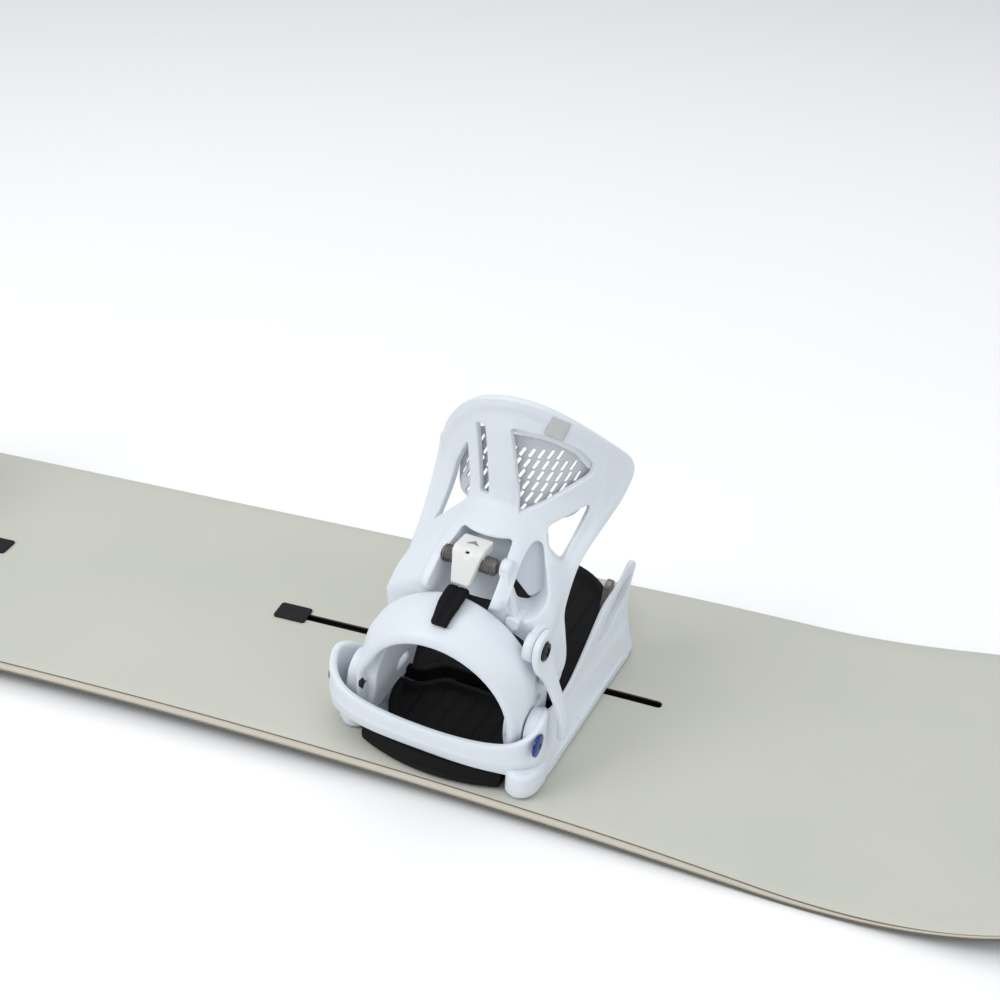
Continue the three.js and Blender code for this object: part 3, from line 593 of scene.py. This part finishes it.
ring = tube(round_ends(np.array(sections), 2.2))
tab = plate(
    outline([(-71, -113, 1.5), (-64, -113, 1.5), (-64, -101, 1.5), (-71, -101, 1.5)], 0.8), [], upright,
    level(27), level(20), 1.2, 2.0
)
both("heel ring", joined(ring, tab), [white], "board", ["heel_ring"], "white_plastic")

# ---- Heel arch ---------------------------------------------------------------------
# The dome over the heel: two legs inside the ring, a broad rear face and a sloping crown that the highback's
# housing stands on. Side panels run forward from the legs and carry the highback's pivots.

sections = []
profile_x = [61.3, 61.0, 57.0, 48.5, 36.5, 20.0, 0.0]
profile_z = [50.0, 72.0, 87.0, 97.5, 108.0, 117.0, 121.0]
place_at = np.linspace(0, 1, 7)
arch_x = soft_reading(list(zip([-0.15, *place_at, 1.15], [61.3, *profile_x, -18.0])), 0.14)
arch_z = soft_reading(list(zip([-0.15, *place_at, 1.15], [34.0, *profile_z, 117.5])), 0.14)
for t in np.linspace(-1.0, 1.0, 101):
    s = 1 - abs(t)
    sign = 1.0 if t > 0 else -1.0
    x, z = float(arch_x(s)), float(arch_z(s))
    a = s * math.pi / 2
    c, r = math.cos(a), math.sin(a)
    thin = 5.0 * smooth_step((0.30 - s) / 0.30) if t < 0 else 0.0
    corners = np.array([
        [sign * x, -88 + 5 * r, z],
        [sign * (x + 0.2) * 0.995, -101 + 0.5 * r, z - 3.0 * r],
        [sign * (57.8 * c + 0.6 * thin), -111 - 8.5 * r, 49 + 58.5 * r],
        [sign * (56.0 * c + 0.8 * thin), -113.5 - 7.5 * r, 47.5 + 56.0 * r],
        [sign * (50.5 * c + thin), -111.5 - 8 * r, 46 + 52.5 * r],
        [sign * 54.5 * c, -88 + 5 * r, 48 + 62 * r],
    ])
    sections.append(softened(corners, 3.2))
legs = []
for k in range(8):
    drop = (8 - k) / 8
    lowered = sections[0].copy()
    lowered[:, 2] = lowered[:, 2] * (1 - drop) + 13 * drop
    legs.append(lowered)
end = []
for k in range(1, 9):
    drop = k / 8
    lowered = sections[-1].copy()
    lowered[:, 2] = lowered[:, 2] * (1 - drop) + 13 * drop
    end.append(lowered)
arch = tube(np.array(legs + sections + end))
PANEL_SIDE = [
    (-108, 12, 3), (-46, 12, 4), (-45, 34, 12), (-47, 58, 6), (-53, 68, 6), (-66, 73, 6), (-92, 66, 12),
    (-108, 52, 8),
]
HAND_SLOT = [(-76, 30, 4.5), (-58, 30, 4.5), (-58, 39, 4.5), (-76, 39, 4.5)]
panels = [
    plate(
        outline(PANEL_SIDE, 1.8), [outline(HAND_SLOT, 1.0)], sideways(s),
        lambda u, v: 54 + 6.6 * smooth_step((-78 - u) / 8),
        lambda u, v: 47.5 + 4.0 * smooth_step((40 - v) / 30), 1.4, 3.0
    )
    for s in (1, -1)
]
both("heel arch", joined(arch, *panels), [white], "board", ["heel_arch"], "white_plastic")

# ---- Heel bumper ---------------------------------------------------------------------
# Soft black rubber block under the ring, with a moulding line along it and chamfered ends.

black = surface("black rubber", (0.0035, 0.0035, 0.004), 0.62, 0.0, (140.0, 0.25), (1300.0, 0.00006))
sections = []
for x in np.linspace(-50, 51, 60):
    bow = 1 - (x / 58) ** 2
    y = -118 - 13 * bow
    shape = [
        (y + 2, 0.7), (y - 0.2, 2.5), (y - 0.6, 8), (y + 0.5, 9), (y + 0.2, 10), (y + 1.2, 14.6),
        (y + 5, 15.6), (-106, 14.6), (-104, 8), (-104, 0.7),
    ]
    sections.append(softened(np.array([[x, v, w] for v, w in shape]), 1.0, 4))
bumper = tube(round_ends(np.array(sections), 2.0))
both("heel bumper", bumper, [black], "board", ["heel_bumper"], "black_rubber")

# ---- Footbed pads ----------------------------------------------------------------------
# Two black rubber pads. Their facing edges stand up as thick double ridges that run as an S across the foot,
# and fine grooves and small nubs run along the tread.



def tread(line, low, rim, grooves):
    """The pad's upper face: flat, grooved along the foot, with a raised rounded rim and rows of nubs."""

    def face(u, v):
        at = np.c_[u, v]
        depth = nearest(at, line)
        lip = rim * (1 - smooth_step((depth - 5.0) / 1.6))
        groove = 1.3 * np.exp(-(((u / grooves) % 1 - 0.5) * grooves) ** 2 / 0.9)
        nubs = 0.9 * np.exp(-((((u / 17) % 1 - 0.5) * 17) ** 2 + (((v / 22) % 1 - 0.5) * 22) ** 2) / 3.0)
        free = smooth_step((depth - 7.5) / 1.5)
        return low + lip - groove * free + nubs * free * (rim > 2)

    return face


heel_line = outline(
    [(-54, -64, 4), (-37, -65, 8), (-24.5, -50, 8), (10, -49, 12), (49, -51, 6), (49, -82, 8), (45, -97, 14),
     (30, -110, 16), (0, -113.5, 20), (-30, -110, 16), (-45, -97, 14), (-50, -82, 8)], 1.2
)
heel_pad = plate(heel_line, [], upright, tread(heel_line, 11.8, 4.0, 13.0), level(8.3), 1.4, 1.5)
both("heel pad", heel_pad, [black], "board", ["heel_pad"], "black_rubber")
front_line = outline(
    [(-58, -57, 4), (-39, -58, 8), (-27, -43, 8), (10, -42, 12), (59, -43, 6), (61, 56, 16), (54, 86, 16),
     (40, 104, 14), (23, 117.5, 14), (0, 124.5, 16), (-23, 117.5, 14), (-40, 104, 14), (-54, 86, 16),
     (-61, 56, 16)], 1.3
)
front_pad = plate(front_line, [], upright, tread(front_line, 15.4, 4.6, 15.0), level(8.4), 1.6, 1.6)
both("front pad", front_pad, [black], "board", ["front_pad"], "black_rubber")

# ---- Highback ------------------------------------------------------------------------------
# A wrapped nylon shell: a broad rim, a spine and two diagonal arms between its windows, and at its foot the
# raised housing for the lean adjuster and the latch. It hinges on two screws beside the heel.

rear_line = soft_reading(
    [(35, -95), (60, -94), (85, -86), (100, -76), (115, -62), (130, -49), (150, -37), (170, -31), (200, -32),
     (246, -36)], 9
)
sway = soft_reading([(60, 0), (100, 0), (165, 4.5), (246, 3.5)], 10)


WRAP_RADIUS = 73
HIGHBACK_PIVOT = (-60, 60)
LEVER_PIVOT = (-85, 98)


def on_wrap(a, z, height):
    """A point on the wrapped shell: a runs round it, z up it, and height stands out of its outer face."""
    radius = WRAP_RADIUS + height
    turn = a / WRAP_RADIUS
    return np.c_[sway(z) + radius * np.sin(turn), rear_line(z) + WRAP_RADIUS - radius * np.cos(turn), z]


def housing(a, z):
    """How far the housing stands out of the shell: the further back of a long slope and of a short face above
    its crest, softly joined to the shell, with a cheek on each side of the lean block."""
    x = WRAP_RADIUS * np.sin(a / WRAP_RADIUS)
    wall = rear_line(z) + WRAP_RADIUS - WRAP_RADIUS * np.cos(a / WRAP_RADIUS)
    crest = 152 - 0.018 * x**2
    slope = -50 - 1.05 * (154 - z) + 0.012 * x**2
    face = -50 - 1.05 * (154 - crest) + 0.012 * x**2 + 1.6 * (z - crest)
    target = np.maximum(np.maximum(slope, face), -81.5)
    raw = (wall - target) * np.cos(a / WRAP_RADIUS)
    raw = raw * smooth_step((59 - np.abs(x)) / 10)
    cheek = 10 * smooth_step((24 - np.abs(x)) / 4) * smooth_step((z - 112) / 14) * smooth_step((149 - z) / 12)
    raw = raw + cheek
    return np.where(raw > -3, 0.5 * (raw + np.sqrt(raw**2 + 5.0)), 0) * smooth_step((raw + 3) / 3)


HIGHBACK_RIGHT = [
    (6, 246, 14), (28, 242, 16), (50, 229.5, 16), (76, 209, 12), (93, 193, 9), (97, 181, 8), (84, 160, 9),
    (77, 151, 9), (65, 130, 12), (67, 106, 14), (79, 84, 14), (84, 64, 7), (78, 51, 6), (66, 51, 5),
    (60, 66, 8),
    (56, 77, 8), (51, 82, 8), (45, 92, 8), (34, 100, 8), (15.5, 103, 1), (15.5, 150, 2.5), (-15.5, 150, 2.5),
]
HIGHBACK_LEFT = [
    (-15.5, 103, 1), (-34, 100, 8), (-45, 92, 8), (-51, 82, 8), (-56, 77, 8), (-60, 66, 8), (-66, 51, 5),
    (-78, 51, 6), (-84, 64, 7), (-79, 84, 14), (-70, 106, 14), (-73, 126, 14), (-82, 158, 14), (-80, 170, 12),
    (-58, 202, 20), (-31, 232, 22), (-14, 241.5, 14),
]
highback_line = outline(HIGHBACK_RIGHT + HIGHBACK_LEFT, 1.6)
WINDOWS = [
    [(4.5, 223, 3), (31, 220, 8), (50, 210, 6), (62, 196, 4), (60, 189, 4), (43, 179, 8), (29, 169, 8),
     (13, 160, 3)],
    [(-15, 219, 2.5), (-10.5, 166, 2.5), (-17.5, 166, 2.5), (-22.5, 218, 2.5)],
    [(35, 153, 6), (43, 158, 6), (60, 166.5, 3), (61.5, 162, 3), (53, 131, 2), (43, 137, 4), (35.5, 146, 5)],
    [(-31, 199, 3), (-46, 172, 6), (-53, 131, 2), (-42, 141, 5), (-26.5, 158, 5)],
]
LINK_POCKET = [
    (22.8, 120, 3), (22.8, 141, 3), (27, 148, 4), (34, 145, 4), (46, 117, 4), (42, 109.5, 3), (32, 110.5, 3),
]
holes = [outline(w, 1.5) for w in WINDOWS]


def highback_outer(a, z):
    """The outer face: a slight bead along the outline, the housing, and a crease down the spine's edge."""
    depth = nearest(np.c_[a, z], highback_line)
    bead = 1.2 * (1 - smooth_step((depth - 5) / 6)) * smooth_step((z - 90) / 30)
    spine = 1.3 * smooth_step((z - 158) / 12) * smooth_step((232 - z) / 14) * smooth_step((9.5 - a) / 1.8)
    spine *= smooth_step((a + 14) / 12)
    return bead + spine + housing(a, z)


def highback_inner(a, z):
    return np.full(np.shape(a), -5.0)


shell = plate(
    highback_line, holes + [outline(LINK_POCKET, 1.2)], on_wrap, highback_outer, highback_inner,
    1.3, 2.0, 5
)
floors = plate(
    outline([(-21, 108, 3), (-21, 153, 3), (21, 153, 3), (21, 108, 3)], 2), [], on_wrap,
    level(-2.2), level(-4.6), 1, 2.5
)
POCKET_FLOOR = [(22, 124, 3), (20, 150, 3), (36, 150, 3), (49, 118, 3), (40, 112, 3)]
pocket = plate(outline(POCKET_FLOOR, 2), [], on_wrap, level(0.5), level(-4.6), 1, 2.5)
boss = []
turn = np.linspace(0, 2 * math.pi, 41)[:-1]
for s in (1, -1):
    rings = [
        np.c_[np.full(40, s * x), HIGHBACK_PIVOT[0] + r * np.cos(turn), HIGHBACK_PIVOT[1] + r * np.sin(turn)]
        for x, r in ((54.6, 8.6), (55, 9), (64.5, 9), (65.5, 8.4), (65.8, 7.4))
    ]
    boss.append(tube(np.array(rings)))
rings = [
    np.c_[np.full(40, x), LEVER_PIVOT[0] + r * np.cos(turn), LEVER_PIVOT[1] + r * np.sin(turn)]
    for x, r in ((51.5, 9.4), (52, 10), (57.8, 10), (58.4, 9.4))
]
boss.append(tube(np.array(rings)))
BRACKET = [
    (-94, 92, 4), (-92, 106, 5), (-76, 108, 6), (-56, 100, 8), (-54, 84, 5), (-66, 79, 8), (-86, 88, 6),
]
boss.append(
    plate(outline(BRACKET, 1.5), [], sideways(), level(58), level(51.5), 1.4, 3)
)
LIP = [
    (1, 229, 2), (1.5, 217.5, 2), (30, 214.5, 8), (48, 205, 6), (60, 190, 3), (67, 196, 3), (54, 215, 8),
    (32, 226, 8),
]
lip = plate(outline(LIP, 1.6), [], lambda a, z, h: on_wrap(a, z, h - 4.6), level(0), level(-2.6), 0.8, 3)
whole = joined(shell, floors, pocket, lip, *boss)
both("highback", whole, [white], "highback", ["highback"], "white_plastic")

# ---- Panel inside the highback ------------------------------------------------------------
# A thin light-grey moulded panel behind the windows, pierced by slanting round-ended slots in staggered rows.

panel_grey = surface("panel plastic", (0.52, 0.545, 0.565), 0.5, 0.0, (50.0, 0.05), (1200.0, 0.00003))
PANEL = [
    (-54, 168, 10), (-46, 154, 8), (20, 150, 10), (58, 156, 8), (66, 178, 8), (63, 190, 8), (50, 203, 10),
    (30, 214, 10), (-22, 214, 10), (-42, 196, 10),
]
panel_line = outline(PANEL, 1.5)
SLOT_LEAN = 0.55
SLOT_ACROSS = 7.0
SLOT_UP = 8.5
SLOT_CORNERS = ((-4.4, -1.15), (4.4, -1.15), (4.4, 1.15), (-4.4, 1.15))
slots = []
for row in range(7):
    for column in range(-8, 9):
        u = column * SLOT_ACROSS + (SLOT_ACROSS / 2 if row % 2 else 0)
        v = 159 + row * SLOT_UP
        lean = np.array([math.sin(SLOT_LEAN), math.cos(SLOT_LEAN)])
        across = np.array([lean[1], -lean[0]])
        line = [np.array([u, v]) + lean * p + across * q for p, q in SLOT_CORNERS]
        loop = outline([(p[0], p[1], 1.15) for p in line], 0.7)
        if within(loop, panel_line).all() and nearest(loop, panel_line).min() > 1.4:
            slots.append(loop)
panel = plate(panel_line, slots, lambda a, z, h: on_wrap(a, z, h - 7.6), level(0), level(-1.6), 0.35, 2.4, 2)
both("mesh panel", panel, [panel_grey], "highback", ["mesh_panel"], "panel_grey")

# ---- Blank plate on the rim ------------------------------------------------------------------
# A small bevelled metal plate set into the rim. It carries no mark.

plate_silver = surface("plate silver", (0.50, 0.50, 0.50), 0.34, 0.7, (400.0, 0.10), (2500.0, 0.00002))
badge = plate(
    outline([(26.5, 223, 1), (38.5, 217.8, 1), (43.5, 231.5, 1), (31.5, 237, 1)], 0.6), [], on_wrap,
    level(1.7), level(-0.4), 0.5, 1.5, 2
)
both("blank plate", badge, [plate_silver], "highback", ["label_plate"], "plate_silver")

# ---- Lean block and its barrel -----------------------------------------------------------------
# A warm-white block swings on a threaded steel barrel. Its lower end bears on the rubber tab over the arch.

block_white = surface("block plastic", (0.74, 0.735, 0.715), 0.36, 0.0, (40.0, 0.03), (1200.0, 0.00002))
# Painted shade: a near-black finish for the disc set inside the pin hole, where the hole goes dark.
hole_shade = surface("painted hole shade", (0.01, 0.01, 0.01), 0.8)
arrow_grey = surface("printed arrow", (0.25, 0.25, 0.25), 0.6)
block_y = soft_reading([(-30, -32), (0, -54), (16, -70), (21, -74.5), (44, -84.5), (60, -91)], 2.0)
block_z = soft_reading([(-30, 146), (0, 148), (16, 149), (21, 147.5), (44, 127), (60, 113)], 2.0)


def on_block(u, s, h):
    """Along the block's outer face: u across, s down it, and h out of it."""
    y, z = block_y(s), block_z(s)
    dy, dz = block_y(s + 0.5) - block_y(s - 0.5), block_z(s + 0.5) - block_z(s - 0.5)
    size = np.hypot(dy, dz)
    return np.c_[u, y + h * dz / size, z - h * dy / size]


BLOCK = [
    (-10.6, 0.5, 1.5), (10.6, 0.5, 1.5), (10.8, 20, 3), (9.5, 26, 4), (6.3, 43, 1.6), (-6.3, 43, 1.6),
    (-9.5, 26, 4), (-10.8, 20, 3),
]
pin_hole = circle(0, 20, 1.5, 25, 0.4)


def block_face(u, s):
    """A shallow round-ended dish round the pin hole."""
    away = np.hypot(u / 5.2, (s - 16) / 9.5)
    return -0.5 * (1 - smooth_step((away - 0.85) / 0.2))


block = plate(outline(BLOCK, 0.9), [pin_hole], on_block, block_face, level(-7), 1.0, 1.0)
both("lean block", block, [block_white], "lean_block", ["lean_block"], "block_plastic")
# A near-black disc set down in the pin hole: painted shade for the inside of the hole.
plug = plate(even(pin_hole, 0.5), [], on_block, level(-1.6), level(-4), 0.2, 0.8, 1)
both("pin hole", plug, [hole_shade], "lean_block", [], "block_plastic")
ARROW = [(-4.5, 11.5, 0.4), (0, 6.5, 0.4), (4.5, 11.5, 0.4), (0, 10, 0.4)]
arrow = plate(outline(ARROW, 0.4), [], on_block, level(0.04), level(-0.9), 0.05, 0.8, 1)
both("arrow mark", arrow, [arrow_grey], "lean_block", [], "block_plastic")
dark_steel = surface("dark steel", (0.20, 0.19, 0.175), 0.36, 0.95, (300.0, 0.15), (2500.0, 0.00002))
turn = np.linspace(0, 2 * math.pi, 97)[:-1]
rings = []
for x in np.linspace(-19.6, 19.6, 180):
    edge = 1 if abs(x) < 18.6 else 0.8
    thread = 0.42 * np.sin(2 * math.pi * x / 1.9 + turn)
    radius = (5.7 + thread) * edge
    rings.append(np.c_[np.full(96, x), -68 + radius * np.cos(turn), 138 + radius * np.sin(turn)])
both("cross barrel", tube(np.array(rings)), [dark_steel], "highback", ["cross_barrel"], "dark_steel")

# ---- Rubber tab ---------------------------------------------------------------------------------
# A ribbed strip of black rubber on the arch's crown, under the block.

sections = []
for t in np.linspace(0, 1, 30):
    y = -83.5 - 27.5 * t
    z = 122.6 - 1.5 * t - 8.0 * t * t
    half = 7.6 - 1.8 * smooth_step((t - 0.4) / 0.6)
    shape = [
        (-half, 0), (-half, 2.8), (-half + 1.4, 3.6), (-1.6, 3.6), (-1, 2.9), (1, 2.9), (1.6, 3.6),
        (half - 1.4, 3.6), (half, 2.8), (half, 0),
    ]
    sections.append(softened(np.array([[p, y - 0.25 * q, z + q] for p, q in shape]), 0.7, 4))
rubber_tab = tube(round_ends(np.array(sections), 1.2))
both("rubber tab", rubber_tab, [black], "board", ["rubber_tab"], "black_rubber")

# ---- Release lever and its screw -------------------------------------------------------------------
# The lever that opens the heel catch: a round head on a black cross-recess screw, and a slim blade that
# bends out and down past the ring.

lever_reach = soft_reading(
    [(20, 84.6), (31, 84.4), (44, 83.6), (56, 79.8), (70, 73.6), (84, 68), (94, 65), (120, 64.4)], 6
)
LEVER = [
    (-97.5, 110.5, 12), (-72.5, 110.5, 12), (-72, 92, 12), (-75.5, 78, 12), (-77, 60, 20), (-79.5, 44, 12),
    (-81, 30.5, 4.4), (-89.5, 30.5, 4.4), (-89, 45, 12), (-87.5, 62, 20), (-89.5, 78, 12), (-97.5, 88, 12),
]
lever_line = outline(LEVER, 1.2)


def lever_face(y, z):
    """The lever's outer face: bent outwards by lever_reach, and the blade swells softly to its middle."""
    swell = 0.9 * smooth_step(nearest(np.c_[y, z], lever_line) / 6) * smooth_step((88 - z) / 10)
    return lever_reach(z) + swell - 0.6


eye = circle(*LEVER_PIVOT, 6.4, 49, 0.8)
lever = plate(
    lever_line, [eye], sideways(), lever_face, lambda y, z: lever_reach(z) - 5.2, 1.3, 1.8
)
both("release lever", lever, [white], "lever", ["release_lever"], "white_plastic")


def screw(reach, y, z, radius, depth, cross=1.0, side=1):
    """A low-domed screw head with a cross-shaped recess, facing outwards along x."""
    ring = np.linspace(0, 2 * math.pi, 61)[:-1]
    line = np.c_[y + radius * np.cos(ring), z + radius * np.sin(ring)]
    a, b = 0.16 * radius * cross, 0.5 * radius * cross
    mark = [
        (a, a), (b, a), (b, -a), (a, -a), (a, -b), (-a, -b), (-a, -a), (-b, -a), (-b, a), (-a, a), (-a, b),
        (a, b),
    ]
    slot = outline([(y + p, z + q, 0.1) for p, q in mark], 0.35)

    def face(u, v):
        """The dome of the head: a shallow parabola about its middle."""
        return reach - 0.12 * radius * ((u - y) ** 2 + (v - z) ** 2) / radius**2

    head = plate(line, [slot], sideways(side), face, level(reach - depth), 0.35, 0.9, 3)
    seat_line = np.c_[y + 0.8 * radius * np.cos(ring), z + 0.8 * radius * np.sin(ring)]
    floor_of_mark = level(reach - 1.6)
    under = plate(seat_line, [], sideways(side), floor_of_mark, level(reach - depth), 0.1, 1.5, 1)
    return joined(head, under)


screw_black = surface("black screw", (0.03, 0.03, 0.032), 0.36, 0.6, (300.0, 0.15), (1800.0, 0.00002))
lever_screw = screw(66.6, *LEVER_PIVOT, 6.0, 4.6, 1.35)
both("lever screw", lever_screw, [screw_black], "lever", ["lever_screw"], "dark_steel")

# ---- Latch link and slide ----------------------------------------------------------------------------
# A dog-bone link leans down the housing's outer shoulder to a toothed slide: together they carry the lever's
# pull to the heel catch.

rings = [
    np.c_[np.full(40, x), -67.5 + r * np.cos(a), 140 + r * np.sin(a)]
    for a in [np.linspace(0, 2 * math.pi, 41)[:-1]]
    for x, r in ((22.8, 5.2), (23.4, 6.1), (29.4, 6.1), (30.2, 5.2))
]
knob = tube(np.array(rings))
sections = []
for t in np.linspace(0, 1, 24):
    x = 26.5 + 9.5 * t
    y = -71 - 5.0 * t
    z = 139 - 27 * t
    half = 3.6 - 0.5 * math.sin(math.pi * t)
    near, far = y - 3.2, y + 3.2
    corners = np.array([[x - half, near, z], [x + half, near, z], [x + half, far, z], [x - half, far, z]])
    sections.append(softened(corners, 1.6))
arm = tube(round_ends(np.array(sections), 1.6))
both("latch link", joined(knob, arm), [white], "latch", ["latch_link"], "block_plastic")
TEETH = [
    (33.6, 101, 1), (36.5, 99.6, 0.6), (37.4, 102, 0.6), (39.4, 101.6, 0.6), (40, 104, 0.6), (42.4, 104, 0.8),
    (43.4, 111, 1.2),
    (38, 113, 1.5), (33.6, 112, 1),
]
slide = plate(outline(TEETH, 0.8), [], lambda u, v, h: np.c_[u, -h, v], level(82), level(68), 0.8, 1.4)
both("latch slide", slide, [white], "latch", ["latch_slide"], "block_plastic")

# ---- Bolts, catch and hooks --------------------------------------------------------------------------
# Bolts hold ring, wall and arch together: a blue anodised head outside, a dark one on the inner side, and
# black nuts within. The catch and the toe hooks are dark stamped steel.

blue = surface("blue anodised", (0.010, 0.035, 0.22), 0.22, 0.85, (200.0, 0.1), (2500.0, 0.00001), 0.4)
blue_head = screw(75.6, -109, 40, 8.0, 2.6, 0.5)
both("hoop bolt outer", blue_head, [blue], "board", ["hoop_bolt_outer"], "blue_metal")
both("hoop nut outer", screw(-55.2, -105, 42, 8.2, 3.4, 0.6), [screw_black], "board", [], "dark_steel")
dark_head = screw(84.2, -105, 38, 6.5, 2.4, 0.5, -1)
both("hoop bolt inner", dark_head, [dark_steel], "board", ["hoop_bolt_inner"], "dark_steel")
both("hoop nut inner", screw(-50.2, -103, 41, 8.2, 3.4, 0.6, -1), [screw_black], "board", [], "dark_steel")
HOOK = [(40, 22.4, 3), (48, 22.4, 3), (52, 40, 8), (60, 56, 5), (57.5, 64.5, 4), (48, 62, 5), (42, 44, 8)]
for where, s in (("outer", 1), ("inner", -1)):
    hook = plate(outline(HOOK, 1.0), [], sideways(s), level(61.3), level(56.2), 0.8, 2.0)
    both(f"toe hook {where}", hook, [dark_steel], f"hook_{where}", [f"toe_hook_{where}"], "dark_steel")
disc_plastic = surface("disc plastic", (0.03, 0.03, 0.033), 0.5, 0.0, (80.0, 0.1), (900.0, 0.00003))
for name, side in SIDES:
    bare(f"{name}_heel_catch", dark_steel)
    bare(f"{name}_mounting_disc", disc_plastic)
    for node in ("disc_screw_a", "disc_screw_b", "nut_plate"):
        bare(f"{name}_{node}", dark_steel)

# ---- Floor, light and camera ----------------------------------------------------------------------------
# A plain pale floor under soft, cool studio light from above and behind the camera.

ground = bpy.data.meshes.new("Floor")
reach, drop = 9, -0.0005
corners = [(-reach, -reach, drop), (reach, -reach, drop), (reach, reach, drop), (-reach, reach, drop)]
ground.from_pydata(corners, [], [(0, 1, 2, 3)])
ground.materials.append(surface("studio floor", (0.93, 0.93, 0.93), 0.8, 0.0, (3.0, 0.01), (300.0, 0.00001)))
floor = bpy.data.objects.new("Floor", ground)
bpy.context.scene.collection.objects.link(floor)


def lamp(name, place, aim, size, power, tint):
    """A square soft light that faces the point it aims at."""
    light = bpy.data.lights.new(name, "AREA")
    light.size = size
    light.energy = power
    light.color = tint
    thing = bpy.data.objects.new(name, light)
    back = np.array(place, float) - np.array(aim, float)
    back /= np.linalg.norm(back)
    right = np.cross([0, 0, 1], back)
    right /= np.linalg.norm(right)
    up = np.cross(back, right)
    frame_matrix = Matrix(np.c_[right, up, back].tolist()).to_4x4()
    frame_matrix.translation = place
    thing.matrix_world = frame_matrix
    bpy.context.scene.collection.objects.link(thing)


lamp("Key", (-1.3, -1.2, 2.0), (0.3, 0, 0.1), 1.4, 30, (1.0, 0.995, 0.985))
lamp("Fill", (2.4, -1.0, 1.6), (0.3, 0, 0.1), 2.2, 16, (0.95, 0.975, 1.0))
lamp("Top", (0.3, 0.6, 2.6), (0.3, 0, 0.1), 2.4, 19, (1.0, 1.0, 1.0))
world = bpy.data.worlds.new("Studio")
world.use_nodes = True
world.node_tree.nodes["Background"].inputs["Color"].default_value = (0.93, 0.96, 1.0, 1)
world.node_tree.nodes["Background"].inputs["Strength"].default_value = 0.62
bpy.context.scene.world = world
bpy.context.scene.view_settings.view_transform = "Standard"

azimuth, elevation, roll = math.radians(16.905), math.radians(32.354), math.radians(2.056)
back = np.array([
    math.sin(azimuth) * math.cos(elevation), -math.cos(azimuth) * math.cos(elevation), math.sin(elevation)
])
level_right = np.array([math.cos(azimuth), math.sin(azimuth), 0])
level_up = np.cross(back, level_right)
right = math.cos(roll) * level_right + math.sin(roll) * level_up
up = -math.sin(roll) * level_right + math.cos(roll) * level_up
lens = bpy.data.cameras.new("Camera")
lens.lens = 50.05
lens.sensor_width = 36
lens.clip_start = 0.05
camera = bpy.data.objects.new("Camera", lens)
pose = Matrix(np.c_[right, up, back].tolist()).to_4x4()
pose.translation = (0.5353, -0.7792, 0.6778)
camera.matrix_world = pose
bpy.context.scene.collection.objects.link(camera)
bpy.context.scene.camera = camera
